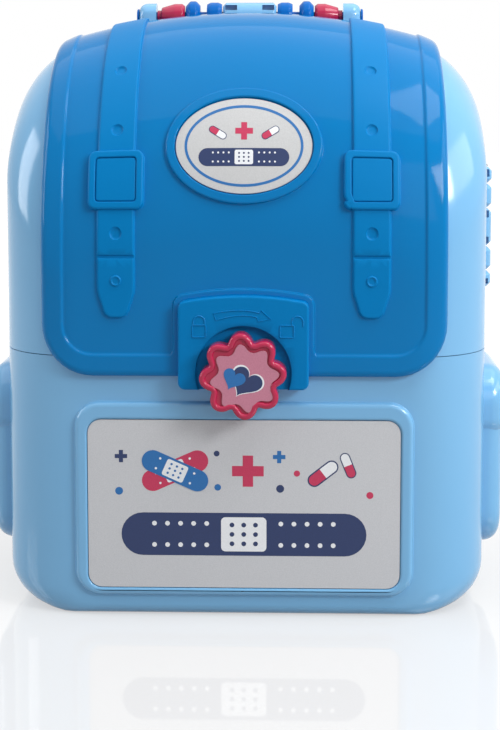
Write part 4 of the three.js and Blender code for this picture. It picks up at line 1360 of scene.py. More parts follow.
@dataclass
class FrontFlap:
    """The azure cover: panel, border, straps, buckles, badge ring and lock plate in one moulding."""

    finishes: FinishSet
    back: float = 0.4
    panel: float = 3.6
    border: float = 4.6
    strap: float = 5.2
    buckle: float = 6.6
    buckle_pad: float = 6.2
    buckle_groove: float = 5.5
    ring: float = 5.4
    plate: float = 9.0
    recess_floor: float = 6.2
    half_width: float = 97.0
    bottom: float = 118.0
    corner: float = 25.0
    border_width: float = 11.0
    end_gap: float = 0.35
    # Pairs of inset and height at the border's outside
    border_round: Points = ((0.0, 2.0), (0.18, 2.8), (0.6, 3.55), (1.2, 4.1), (2.0, 4.45))
    border_flat: tuple[float, ...] = (3.0, 3.5)
    # Pairs measured from the border's inner line: first from its face, then from the panel
    border_brow: Points = ((-1.9, 0), (-1.5, 0), (-1.1, -0.06), (-0.7, -0.24), (-0.4, -0.5))
    border_foot: Points = ((-0.1, 0.22), (0.3, 0.05), (0.8, 0.0), (1.2, 0.0))
    strap_width: float = 17.7
    strap_end: float = 146.3
    strap_tail: float = 12.5
    strap_tip_share: float = 0.55
    strap_tip_radius: float = 4.5
    strap_neck_radius: float = 14.0
    groove_height: float = 175.4
    groove_width: float = 1.5
    buckle_half: float = 13.2
    buckle_pad_half: float = 9.8
    buckle_low: float = 197.5
    buckle_high: float = 224.6
    buckle_gap: float = 0.45
    dimple_heights: tuple[float, ...] = (186.5, 234.3, 262.3)
    dimple_radius: float = 2.7
    dimple_depth: float = 0.8
    # Pairs of distance past the dimple's radius and share of its depth
    dimple_round: Points = ((-0.6, -1.0), (-0.25, -0.8), (0.0, -0.4), (0.3, 0.0))
    stud_height: float = 164.0
    # Pairs of radius and height from the strap's face
    stud_outside: Points = ((0.0, -0.4), (2.8, -0.4), (2.75, 0.05), (2.55, 0.4), (2.15, 0.6))
    stud_dish: Points = ((1.75, 0.5), (1.4, 0.2), (0.0, 0.15))
    ring_half: Point = (37.2, 27.0)
    ring_hole: Point = (33.0, 22.8)
    badge_half: Point = (32.4, 22.2)
    badge_low: float = 3.9
    badge_high: float = 4.6
    plate_half: float = 31.0
    plate_low: float = 112.5
    plate_side: float = 154.2
    plate_peak: float = 160.0
    plate_corner: float = 3.4
    plate_arch: float = 150.0
    rim_reach: float = 2.6
    rim_foot: float = 9.0
    rim_corner: float = 5.6
    recess_radius: float = 22.6
    icon_radius: float = 0.38
    icon_low: float = 137.8
    icon_waist: float = 143.5
    # Left and right edge of each padlock, and the middle of its bow
    icons: Spaces = ((-24.1, -17.7, -20.9), (17.3, 23.9, 25.6))
    bow_radius: float = 2.7

    grain = 1  # material index of the grained zones

    def build(self) -> None:
        """Builds the flap and the badge sheet in its ring."""
        flap = bmesh.new()
        self.add_panel(flap)
        self.add_rim(flap)
        self.add_ring(flap)
        for side in (-1, 1):
            self.add_buckle(flap, side * STRAP_X)
            self.add_stud(flap, side * STRAP_X)
        self.add_carved(flap, self.straps(), self.strap_tools())
        self.add_carved(flap, self.lock_plate(), self.recess_tool())
        self.add_icons(flap)
        cut_grid(flap)
        piece = to_front(flap, "front_flap_moulding", [self.finishes.azure, self.finishes.grained])
        settle_piece(piece, "door", Slot.FLAP, "front_flap")
        self.badge()

    def add_panel(self, bm: BMesh) -> None:
        """Adds the panel with its rounded border."""
        width = self.border_width
        section = [(0.0, self.back), *self.border_round]
        section += [(inset, self.border) for inset in self.border_flat]
        section += [(width + inset, self.border + height) for inset, height in self.border_brow]
        section += [(width + inset, self.panel + height) for inset, height in self.border_foot]
        half, low, corner = self.half_width, self.bottom, self.corner
        end = FRONT.end - self.end_gap
        far = end + 2 * width
        corners = ((-half, low, corner), (half, low, corner), (half, far, 0), (-half, far, 0))
        raised(bm, (RoundedOutline(corners, corner_steps=10), section))
        bmesh.ops.edgeloop_fill(bm, edges=cut_plane(bm, (0, end, 0), (0, 1, 0), above=True))

    def plate_outline(self) -> RoundedOutline:
        """Returns the lock plate's outline with its arched top."""
        half, low, side, corner = self.plate_half, self.plate_low, self.plate_side, self.plate_corner
        corners = (
            (-half, low, corner),
            (half, low, corner),
            (half, side, corner),
            (0.0, self.plate_peak, self.plate_arch),
            (-half, side, corner),
        )
        return RoundedOutline(corners, corner_steps=12)

    def add_rim(self, bm: BMesh) -> None:
        """Adds the rim that the border forms round the lock plate, with its two feet."""
        half = self.plate_half + self.rim_reach
        edge = self.bottom + self.border_width - 1.1
        outer = half + self.rim_foot
        side, peak = self.plate_side + self.rim_reach, self.plate_peak + self.rim_reach
        corners = (
            (-outer, edge - 4, 0.5),
            (outer, edge - 4, 0.5),
            (outer, edge - 1, 0.5),
            (half, edge, 4.0),
            (half, side, self.rim_corner),
            (0.0, peak, self.plate_arch),
            (-half, side, self.rim_corner),
            (-half, edge, 4.0),
            (-outer, edge - 1, 0.5),
        )
        section = soft_profile(self.panel, self.border - 0.02, 0.8, 0.5)
        raised(bm, (RoundedOutline(corners), section))

    def add_ring(self, bm: BMesh) -> None:
        """Adds the oval ring round the badge."""
        centre = (0.0, OVAL_HEIGHT)
        outer = OvalOutline(*self.ring_half, centre)
        inner = OvalOutline(*self.ring_hole, centre)
        section = soft_profile(self.panel, self.ring, 0.8, 0.4)
        drop = drop_profile(self.ring, self.panel - 0.3, 0.5)
        raised(bm, (outer, section), (inner, drop))

    def badge(self) -> None:
        """Builds the badge sheet."""
        bm = bmesh.new()
        outline = OvalOutline(*self.badge_half, (0.0, OVAL_HEIGHT))
        low, high = self.badge_low, self.badge_high
        raised(bm, (outline, [(0.0, low), (0.0, high - 0.1), (0.1, high), (0.5, high)]))
        cut_grid(bm)
        piece = to_front(bm, "oval_badge_sheet", [self.finishes.badge])
        settle_piece(piece, "door", Slot.BADGE, "oval_badge")

    def straps(self) -> BMesh:
        """Draws the two straps, each with its tongue end."""
        bm = bmesh.new()
        half, end = self.strap_width / 2, FRONT.end - self.end_gap
        tip, neck = half * self.strap_tip_share, self.strap_end + self.strap_tail
        for x in (-STRAP_X, STRAP_X):
            corners = (
                (x - tip, self.strap_end, self.strap_tip_radius),
                (x + tip, self.strap_end, self.strap_tip_radius),
                (x + half, neck, self.strap_neck_radius),
                (x + half, end, 0),
                (x - half, end, 0),
                (x - half, neck, self.strap_neck_radius),
            )
            section = soft_profile(self.panel, self.strap, 1.0, 0.4)
            raised(bm, (RoundedOutline(corners, fixed=(3,)), section), finish=self.grain)
        return bm

    def strap_tools(self) -> BMesh:
        """Draws what is cut from the straps: dimples and the groove of the keeper."""
        bm = bmesh.new()
        top, depth, radius = self.strap, self.dimple_depth, self.dimple_radius
        pit = [(radius + out, top + depth * share) for out, share in self.dimple_round]
        pit = [(0.0, top - depth), *pit, (radius + 0.5, top + 0.3), (0.0, top + 0.3)]
        half, reach = self.groove_width / 2, self.strap_width * 0.7
        low, high = self.groove_height - half, self.groove_height + half
        section = [(0.25, top - depth), (0.05, top - depth * 0.8), (0.0, top - depth * 0.5)]
        section += [(-0.1, top - 0.15), (-0.35, top), (-0.6, top + 0.3)]
        for x in (-STRAP_X, STRAP_X):
            for height in self.dimple_heights:
                tube(bm, pit, "Z", (x, FRONT.length_at(x, height), 0.0), 32)
            groove = rounded_box(x - reach, x + reach, low, high, 0.3)
            raised(bm, (groove, section), finish=self.grain)
        return bm

    def add_buckle(self, bm: BMesh, x: float) -> None:
        """Adds a buckle: a soft-edged frame round a pad, with a fine groove between."""
        half, pad = self.buckle_half, self.buckle_pad_half
        low = FRONT.length_at(x, self.buckle_low)
        high = FRONT.length_at(x, self.buckle_high)
        rim = half - pad
        outer = rounded_box(x - half, x + half, low, high, 3.8)
        inner = rounded_box(x - pad, x + pad, low + rim, high - rim, 1.7)
        section = soft_profile(self.panel, self.buckle, 1.1, 0.4)
        drop = drop_profile(self.buckle, self.buckle_groove, 0.45)
        raised(bm, (outer, section), (inner, drop), finish=self.grain)
        pad, rim = pad - self.buckle_gap, rim + self.buckle_gap
        inner_pad = rounded_box(x - pad, x + pad, low + rim, high - rim, 1.4)
        section = soft_profile(self.buckle_groove, self.buckle_pad, 0.4)
        raised(bm, (inner_pad, section), finish=self.grain)

    def add_stud(self, bm: BMesh, x: float) -> None:
        """Adds the dished stud near the strap's tip."""
        places = self.stud_outside + self.stud_dish
        profile = [(radius, self.strap + height) for radius, height in places]
        before = set(bm.faces)
        tube(bm, profile, "Z", (x, self.stud_height, 0.0), 32)
        for face in set(bm.faces) - before:
            face.material_index = self.grain

    def lock_plate(self) -> BMesh:
        """Draws the lock plate."""
        bm = bmesh.new()
        section = [(0.0, self.back), *soft_profile(self.border, self.plate, 1.0)[1:]]
        raised(bm, (self.plate_outline(), section), finish=self.grain)
        return bm

    def recess_tool(self) -> BMesh:
        """Draws the half-moon recess that the knob turns in."""
        bm = bmesh.new()
        radius, floor, top = self.recess_radius, self.recess_floor, self.plate
        profile = [(0.0, floor), (radius - 0.6, floor), (radius - 0.15, floor + 0.15)]
        profile += [(radius, floor + 0.6), (radius, top - 0.5), (radius + 0.2, top - 0.15)]
        profile += [(radius + 0.55, top), (radius + 0.8, top + 1), (0.0, top + 1)]
        tube(bm, profile, "Z", (0.0, LOCK_HEIGHT, 0.0), 96)
        return bm

    def add_carved(self, bm: BMesh, form: BMesh, tool: BMesh) -> None:
        """Cuts the tool from the form and adds the result to the flap."""
        both = [self.finishes.azure, self.finishes.grained]
        for part in (form, tool):
            tidy_normals(part)
            for face in part.faces:
                face.material_index = self.grain
        piece = to_object(form, "form", both)
        carve(piece, to_object(tool, "tool", both), Carve.CUT)
        bmesh.ops.scale(bm, vec=(MM, MM, MM), verts=bm.verts[:])
        bm.from_mesh(piece.data)
        bmesh.ops.scale(bm, vec=(1 / MM, 1 / MM, 1 / MM), verts=bm.verts[:])
        bpy.data.objects.remove(piece)

    def add_icons(self, bm: BMesh) -> None:
        """Adds the embossed padlocks and the arrow between them."""
        low, waist, bow = self.icon_low, self.icon_waist, self.bow_radius
        for left, right, shackle in self.icons:
            body = rounded_box(left, right, low, waist, 0.5, (3, 3)).ring(0.0)
            ridge(bm, body, self.plate, self.icon_radius, True)
            legs = arc((shackle, waist + 1.7), bow, 180, 0)
            foot = waist - 0.4 if shackle > 0 else waist
            path = [(shackle - bow, waist + 0.2), *legs, (shackle + bow, foot)]
            ridge(bm, path, self.plate, self.icon_radius, False)
        arrow = curve_through((-14.0, 149.1), (-2.0, 150.6), (7.7, 149.3))
        arrow += [(8.5, 150.6), (12.9, 146.5), (7.0, 145.4), (6.6, 147.2)]
        arrow += curve_through((6.4, 147.3), (-2.0, 148.1), (-12.9, 145.9))
        ridge(bm, arrow, self.plate, self.icon_radius * 0.8, True)


# Knob


@dataclass
class Knob:
    """The lock's knob: eight petals with a rounded rim, and the sheet in its dish."""

    finishes: FinishSet
    petals: int = 8
    petal_steps: int = 20
    tip: float = 20.6
    valley: float = 14.8
    turn: float = 4.0
    back: float = 7.0
    face: float = 18.0
    dish: float = 16.6
    rim: float = 3.0
    edge: float = 1.7
    # Pairs of inset and height from the knob's back
    back_flat: Points = ((3.0, 0.6), (2.4, 0.0))
    back_round: Points = ((1.0, 0.0), (0.4, 0.15), (0.12, 0.45), (0.0, 1.0))
    star_tip: float = 16.3
    star_valley: float = 12.7
    star_turn: float = 7.5
    star_shift: Point = (0.9, -0.8)
    sheet_low: float = 16.9
    sheet_high: float = 17.5

    def petal_ring(self, inset: float) -> list[Point]:
        """Returns the knob's outline, drawn in square to itself."""
        reach = self.tip - self.valley
        radii = [self.valley + reach * ((w + 0.03) / 1.03) ** 0.36 for w in self.waves(self.turn)]
        return self.drawn_in(radii, inset, (0.0, 0.0))

    def star_ring(self, inset: float) -> list[Point]:
        """Returns the outline of the eight-pointed sheet."""
        reach = self.star_tip - self.star_valley
        radii = [self.star_valley + reach * wave**1.35 for wave in self.waves(self.star_turn)]
        return self.drawn_in(radii, inset, self.star_shift)

    def waves(self, turn: float) -> list[float]:
        """Returns for steps all round how far each is up from valley to tip, from 0 to 1."""
        start = math.radians(90 + turn)
        return [math.cos(self.petals / 2 * (angle - start)) ** 2 for angle in self.angles()]

    def angles(self) -> list[float]:
        """Returns the angles of the outlines' points."""
        steps = self.petals * self.petal_steps
        return [2 * math.pi * i / steps for i in range(steps)]

    def drawn_in(self, radii: list[float], inset: float, shift: Point) -> list[Point]:
        """Puts an outline of these radii round the knob's axis, drawn in square to itself."""
        places = [Vector((r * math.cos(a), r * math.sin(a))) for r, a in zip(radii, self.angles())]
        points = []
        count = len(places)
        for i, place in enumerate(places):
            way = (places[(i + 1) % count] - places[i - 1]).normalized()
            spot = place + Vector((-way.y, way.x)) * inset
            points.append((spot.x + shift[0], spot.y + shift[1] + LOCK_HEIGHT))
        return points

    def build(self) -> None:
        """Builds the knob and its sheet."""
        bm = bmesh.new()
        edge, face = self.edge, self.face
        section = [(inset, self.back + height) for inset, height in self.back_flat + self.back_round]
        section += [(0.0, face - edge - 1.2), *round_edge(edge, face, 6)]
        drop = face - self.dish
        for turn in quarter(5)[1:]:
            inset = edge + (self.rim - edge) * math.sin(turn)
            section.append((inset, face - drop * (1 - math.cos(turn))))
        section.append((self.rim + PAST_EDGE, self.dish))
        raised(bm, (FormulaOutline(self.petal_ring), section))
        piece = to_front(bm, "knob_moulding", [self.finishes.crimson], HARD_CREASE)
        settle_piece(piece, "knob", Slot.CRIMSON, "knob")
        sheet = bmesh.new()
        low, high = self.sheet_low, self.sheet_high
        section = [(0.0, low), (0.0, high - 0.12), (0.12, high), (0.5, high)]
        raised(sheet, (FormulaOutline(self.star_ring), section))
        star = to_front(sheet, "knob_sticker_sheet", [self.finishes.pink])
        settle_piece(star, "knob", Slot.STICKER, "knob_badge")


# Handle


@dataclass
class CarryingHandle:
    """Seven beads on a rod between the lugs."""

    finishes: FinishSet
    rod: float = 2.4
    bore: float = 2.8
    head_radius: float = 3.9
    head_height: float = 1.2
    head_round: float = 0.8
    head_place: float = 58.2
    rod_end: float = 58.6
    cap_floor: float = 58.7
    grip_half: float = 14.0
    grip_radius: float = 7.2
    slot_start: float = 6.6
    slot_end: float = 12.9
    slot_low: float = 295.4
    slot_high: float = 298.2
    steps: int = 64

    # Triples of radius, distance along the rod and corner radius, from the bead's inner end.
    # Each bead's bore closes its profile.
    inner_bead: Spaces = ((6.4, 14.6, 0.5), (7.3, 16.6, 2.2), (7.3, 20.5, 2.2), (6.4, 22.5, 0.5))
    blue_bead: Spaces = ((5.6, 26.0, 0.6), (8.0, 28.2, 1.8), (8.0, 31.4, 1.8), (5.6, 33.6, 0.6))
    crimson_cone: Spaces = ((5.5, 34.1, 0.5), (6.6, 35.6, 0.9), (6.6, 39.6, 2.2), (4.6, 46.5, 0.9))
    crimson_neck: Spaces = ((3.2, 46.5, 0.2), (3.2, 48.6, 0.2))

    def build(self) -> None:
        """Builds the beads, the grip, the rod and its cap."""
        for word, side in (("left", -1), ("right", 1)):
            beads = (
                ("inner", self.inner_bead, self.finishes.bead_blue, Slot.HANDLE),
                ("blue", self.blue_bead, self.finishes.bead_blue, Slot.HANDLE),
                ("crimson", self.crimson_cone + self.crimson_neck, self.finishes.crimson, Slot.CRIMSON),
            )
            for kind, profile, finish, slot in beads:
                name = f"{word}_{kind}_bead"
                piece = self.turned(f"{name}_moulding", self.bored(profile), side, finish)
                settle_piece(piece, name, slot, name)
        self.grip()
        self.rod_ends()

    def bored(self, profile: Sequence[Space]) -> list[Space]:
        """Returns a bead's profile closed along its bore."""
        first, last = (self.bore, profile[0][1], 0), (self.bore, profile[-1][1], 0)
        return [first, *profile, last, first]

    def turned(self, name: str, profile: Sequence[Space], side: int, finish: Material) -> Object:
        """Turns a profile about the rod's axis.

        Args:
            name: The object's name.
            profile: Triples of radius, distance along the rod and corner radius.
            side: 1 for the right half of the handle, -1 for the left.
            finish: The piece's material.

        Returns:
            The object.
        """
        bm = bmesh.new()
        points = [(radius, side * along) for radius, along in rounded_profile(profile)]
        tube(bm, points, "X", (0.0, HANDLE_Y, HANDLE_HEIGHT), self.steps)
        return to_solid(bm, name, [finish], HARD_CREASE)

    def grip(self) -> None:
        """Builds the light blue grip in the middle, with its two slots."""
        half, radius, slope = self.grip_half, self.grip_radius, 1.6
        profile = [(radius - slope, -half, 0.4), (radius, slope - half, 0.9)]
        profile += [(radius, half - slope, 0.9), (radius - slope, half, 0.4)]
        piece = self.turned("centre_grip_moulding", self.bored(profile), 1, self.finishes.body)
        slots = bmesh.new()
        reach = radius + 1.0
        size = (self.slot_end - self.slot_start, reach, self.slot_high - self.slot_low)
        for side in (-1, 1):
            middle = side * (self.slot_start + self.slot_end) / 2
            add_box(slots, size, (middle, HANDLE_Y - reach / 2, (self.slot_low + self.slot_high) / 2))
        carve(piece, to_object(slots, "slots", [self.finishes.body]), Carve.CUT)
        smooth(piece, 40)
        soften(piece, 0.25)
        settle_piece(piece, "centre_grip", Slot.BODY, "centre_grip")

    def rod_ends(self) -> None:
        """Builds the rod with its head, and the cap on its other end."""
        inner, outer, head = -self.head_place, self.head_place, self.head_radius
        low, high = inner - self.head_height, outer + self.head_height
        rod = [(0, low, 0), (head, low, self.head_round), (head, inner, 0.2), (self.rod, inner, 0)]
        rod += [(self.rod, self.rod_end, 0), (0, self.rod_end, 0)]
        cap = [(0, high, 0), (head, high, self.head_round), (head, outer, 0.2), (self.bore, outer, 0)]
        cap += [(self.bore, self.cap_floor, 0), (0, self.cap_floor, 0)]
        for name, profile in (("handle_rod", rod), ("rod_cap", cap)):
            piece = self.turned(f"{name}_moulding", profile, 1, self.finishes.bead_blue)
            settle_piece(piece, "case", Slot.HANDLE, name)


# Side pockets


@dataclass
class SidePockets:
    """A soft-edged moulded pocket on each side: a pillow with a flap over its upper part."""

    finishes: FinishSet
    front: float = -36.0
    rear: float = 44.0
    low: float = 24.0
    high: float = 114.0
    corner: float = 18.0
    body_reach: float = 129.0
    flap_reach: float = 130.5
    flap_low: float = 81.0
    flap_margin: float = 1.4
    flap_corner: float = 9.0
    root: float = 117.9
    round: float = 8.0
    # Pairs of distance past the round edge and depth below the face: the face is slightly domed
    crown: Points = ((0.0, 0.4), (2.5, 0.3), (4.5, 0.25), (6.0, 0.25))
    crease: float = 25.0

    def build(self) -> None:
        """Builds both pockets."""
        for word, side in (("left", -1), ("right", 1)):
            flap = self.pillow("flap", self.flap_margin, self.flap_low, self.flap_reach, side)
            name = f"{word}_pocket_moulding"
            piece = self.pillow(name, 0.0, self.low, self.body_reach, side)
            carve(piece, flap, Carve.JOIN)
            smooth(piece, self.crease)
            settle_piece(piece, "case", Slot.BODY, f"{word}_side_pocket")

    def pillow(self, name: str, grow: float, low: float, reach: float, side: int) -> Object:
        """Makes a soft-edged form that stands out from the side.

        Args:
            name: The object's name.
            grow: How far it reaches past the pocket's front, rear and top.
            low: Its lower edge.
            reach: How far its face stands from the case's middle.
            side: 1 for the right side, -1 for the left.

        Returns:
            The object.
        """
        y0, y1, z1 = self.front - grow, self.rear + grow, self.high + grow
        corner = self.corner + grow
        low_corner = corner if low < self.flap_low else self.flap_corner
        corners = ((y0, low, low_corner), (y1, low, low_corner), (y1, z1, corner), (y0, z1, corner))
        outline = RoundedOutline(corners, cuts=(14, 14, 14, 14), corner_steps=12)
        edge = self.round
        section = [(0.0, self.root), (0.0, reach - edge)]
        section += round_edge(edge, reach - self.crown[0][1], 10)[1:]
        section += [(edge + inset, reach - depth) for inset, depth in self.crown[1:]]
        bm = bmesh.new()
        loft(bm, [[(side * x, *point) for point in outline.ring(inset)] for inset, x in section])
        return to_solid(bm, name, [self.finishes.body])


# Prints


@dataclass
class Print:
    """Flat printed figures, each ink a film that stands a hair proud of its sheet."""

    face: float
    film: float = 0.05
    sink: float = 0.02
    drawings: dict[Ink, BMesh] = field(default_factory=dict)

    def figure(self, ink: Ink, points: Sequence[Point], level: int = 0) -> None:
        """Adds a filled figure.

        Args:
            ink: Its ink.
            points: The outline, counter-clockwise.
            level: How many films it lies over.
        """
        bm = self.drawings.setdefault(ink, bmesh.new())
        top = self.face + self.film * (level + 1)
        loft(bm, [[(x, s, h) for x, s in points] for h in (self.face - self.sink, top)])

    def hoop(self, ink: Ink, outer: Sequence[Point], inner: Sequence[Point]) -> None:
        """Adds a line between two outlines with equally many points."""
        bm = self.drawings.setdefault(ink, bmesh.new())
        low, top = self.face - self.sink, self.face + self.film
        section = ((outer, low), (outer, top), (inner, top), (inner, low))
        rings = [[(x, s, h) for x, s in points] for points, h in section]
        loft(bm, [*rings, rings[0]], False, False)

    def settle(self, name: str, body: str, slot: Slot, inks: dict[Ink, Material]) -> None:
        """Bends the figures onto the front and makes one piece for each ink.

        Args:
            name: Start of the pieces' names.
            body: Name of the body that carries them.
            slot: The sheet's material slot.
            inks: The inks' materials.
        """
        for ink, bm in self.drawings.items():
            bmesh.ops.remove_doubles(bm, verts=bm.verts[:], dist=SAME_PLACE)
            cut_grid(bm)
            settle_piece(to_front(bm, f"{name}_{ink.value[0]}", [inks[ink]]), body, slot)


def moved(points: Sequence[Point], centre: Point, turn: float = 0.0) -> list[Point]:
    """Returns points turned by degrees and moved to a centre."""
    cosine, sine = math.cos(math.radians(turn)), math.sin(math.radians(turn))
    return [(centre[0] + x * cosine - y * sine, centre[1] + x * sine + y * cosine) for x, y in points]


def capsule(length: float, width: float) -> list[Point]:
    """Returns the points of a bar with round ends."""
    half, radius = length / 2 - width / 2, width / 2
    return arc((half, 0.0), radius, -90, 90, 14) + arc((-half, 0.0), radius, 90, 270, 14)


def plus(reach: float, width: float) -> list[Point]:
    """Returns the points of a plus sign with equal arms."""
    a, b = width / 2, reach
    arm = [(-a, -b), (a, -b), (a, -a)]
    turns = ((1, 0), (0, 1), (-1, 0), (0, -1))
    return [(x * c - y * s, x * s + y * c) for c, s in turns for x, y in arm]


def heart(width: float) -> list[Point]:
    """Returns the points of a heart by the usual sine curve."""
    points = []
    steps, full_width, lift = 72, 32, 2
    for i in range(steps):
        t = 2 * math.pi * (i + 0.5) / steps
        x = 16 * math.sin(t) ** 3
        y = 13 * math.cos(t) - 5 * math.cos(2 * t) - 2 * math.cos(3 * t) - math.cos(4 * t)
        points.append((-x * width / full_width, (y + lift) * width / full_width))
    return points


@dataclass(frozen=True)
class Plaster:
    """An adhesive plaster with its pad and air holes. Its shares are of its width."""

    centre: Point
    turn: float
    length: float
    width: float
    ink: Ink = Ink.NAVY
    level: int = 0
    pad_half: Point = (0.52, 0.4)
    pad_corner: float = 0.1
    hole: float = 0.055
    pad_holes: Point = (0.27, 0.22)
    first_hole: float = 0.85
    hole_step: float = 0.3
    hole_row: float = 0.25

    def draw(self, sheet: Print) -> None:
        """Draws the plaster on a sheet."""
        width = self.width
        strip = capsule(self.length, width)
        sheet.figure(self.ink, moved(strip, self.centre, self.turn), self.level)
        x, y = self.pad_half[0] * width, self.pad_half[1] * width
        pad = rounded_box(-x, x, -y, y, width * self.pad_corner).ring(0.0)
        sheet.figure(Ink.PALE, moved(pad, self.centre, self.turn), self.level + 1)
        across, up = self.pad_holes
        for row, column in product((-1, 0, 1), repeat=2):
            self.draw_hole(sheet, self.ink, (column * width * across, row * width * up), 2)
        run = (self.length - width) / 2 - width * 0.6
        count = max(1, int(run / (width * self.hole_step)))
        for side, i, row in product((-1, 1), range(count), (-1, 1)):
            along = side * width * (self.first_hole + i * self.hole_step)
            self.draw_hole(sheet, Ink.PALE, (along, row * width * self.hole_row), 1)

    def draw_hole(self, sheet: Print, ink: Ink, place: Point, level: int) -> None:
        """Draws an air hole, so many films over the plaster, at a place from its middle."""
        spot = moved([place], self.centre, self.turn)[0]
        sheet.figure(ink, moved(disc(self.width * self.hole, 14), spot), self.level + level)


@dataclass(frozen=True)
class Pill:
    """A capsule of two halves inside a navy line."""

    centre: Point
    turn: float
    length: float
    width: float
    line: float = 0.1

    def draw(self, sheet: Print) -> None:
        """Draws the pill on a sheet."""
        sheet.figure(Ink.NAVY, moved(capsule(self.length, self.width), self.centre, self.turn))
        half = (self.length - self.width) / 2
        radius = self.width * (0.5 - self.line)
        left = [(0.0, radius), *arc((-half, 0.0), radius, 90, 270, 14), (0.0, -radius)]
        right = [(0.0, -radius), *arc((half, 0.0), radius, -90, 90, 14), (0.0, radius)]
        for ink, points in ((Ink.CRIMSON, left), (Ink.PALE, right)):
            sheet.figure(ink, moved(points, self.centre, self.turn), 1)


@dataclass
class Prints:
    """What is printed on the label, the badge and the knob's sheet: plain figures, no words."""

    finishes: FinishSet
    label_face: float = 2.1
    badge_face: float = 4.6
    knob_face: float = 17.5
    ring_half: Point = (28.2, 19.0)
    ring_line: float = 1.25
    label_figures: tuple[Plaster | Pill, ...] = (
        Plaster((0.0, 41.0), 0.0, 118.0, 21.0),
        Plaster((-33.0, 72.0), 24.0, 34.0, 10.5, Ink.CRIMSON),
        Plaster((-33.0, 72.0), -24.0, 34.0, 10.5, Ink.BLUE, 3),
        Pill((38.0, 71.0), 38.0, 17.0, 6.6),
        Pill((50.0, 75.0), 112.0, 13.0, 5.0),
    )
    # Reach and width of each plus sign's arms, its place and its ink
    label_pluses: tuple[tuple[float, float, Point, Ink], ...] = (
        (7.6, 5.0, (2.0, 72.0), Ink.CRIMSON),
        (3.0, 2.0, (17.0, 79.0), Ink.BLUE),
        (3.0, 2.0, (-59.0, 79.0), Ink.NAVY),
    )
    # Radius, place and ink of each dot
    label_dots: tuple[tuple[float, Point, Ink], ...] = (
        (1.6, (-12.5, 64.0), Ink.BLUE),
        (1.9, (17.5, 63.5), Ink.NAVY),
        (1.7, (60.5, 60.5), Ink.CRIMSON),
        (1.9, (-60.0, 62.0), Ink.BLUE),
        (1.4, (-13.0, 80.5), Ink.NAVY),
        (1.5, (25.5, 71.0), Ink.CRIMSON),
    )
    # Width of each heart, its place from the knob's axis, its turn and its ink
    hearts: tuple[tuple[float, Point, float, Ink], ...] = (
        (16.4, (1.0, -3.0), -33.0, Ink.PALE),
        (14.9, (1.0, -3.05), -33.0, Ink.NAVY),
        (10.8, (-4.6, -1.5), -26.0, Ink.BLUE),
    )

    def build(self) -> None:
        """Prints all three sheets."""
        self.label()
        self.badge()
        self.knob()

    def label(self) -> None:
        """Prints the label: plasters, pills, plus signs and dots."""
        label = Print(self.label_face)
        for figure in self.label_figures:
            figure.draw(label)
        for reach, width, place, ink in self.label_pluses:
            label.figure(ink, moved(plus(reach, width), place))
        for radius, place, ink in self.label_dots:
            label.figure(ink, moved(disc(radius), place))
        label.settle("label_print", "case", Slot.LABEL, self.finishes.inks)

    def badge(self) -> None:
        """Prints the badge: an oval line round a plaster, a plus sign and two pills."""
        badge = Print(self.badge_face)
        line = OvalOutline(*self.ring_half, (0.0, OVAL_HEIGHT))
        badge.hoop(Ink.BLUE, line.ring(0.0), line.ring(self.ring_line))
        middle = FRONT.length_at(0.0, OVAL_HEIGHT)
        Plaster((0.0, middle - 5.2), 0.0, 43.0, 8.4).draw(badge)
        badge.figure(Ink.CRIMSON, moved(plus(4.2, 2.8), (0.0, middle + 7.2)))
        for side in (1, -1):
            Pill((side * 12.5, middle + 6.4), side * 32.0, 9.4, 3.6).draw(badge)
        badge.settle("badge_print", "door", Slot.BADGE, self.finishes.inks)

    def knob(self) -> None:
        """Prints the knob's sheet: two hearts, the front one over a pale rim."""
        knob = Print(self.knob_face)
        for level, (width, (x, rise), turn, ink) in enumerate(self.hearts):
            knob.figure(ink, moved(heart(width), (x, LOCK_HEIGHT + rise), turn), level)
        knob.settle("knob_print", "knob", Slot.STICKER, self.finishes.inks)


# Pieces that stay as the frame has them


def dress_plain_nodes(finishes: FinishSet) -> None:
    """Gives the label, the key, the washer, the pin and the screws their finishes."""
    metal = [obj for obj in bpy.data.objects if obj.name.endswith("_screw")]
    metal += [bpy.data.objects[name] for name in ("knob_washer", "hinge_pin")]
    coats = [(obj, finishes.steel) for obj in metal]
    coats.append((bpy.data.objects["lock_key"], finishes.inner))
    coats.append((bpy.data.objects["front_label"], finishes.silver))
    for obj, coat in coats:
        obj.data.materials.clear()
        obj.data.materials.append(coat)
        smooth(obj, 35)
        log.info("%s keeps its frame mesh", obj.name)


# Studio


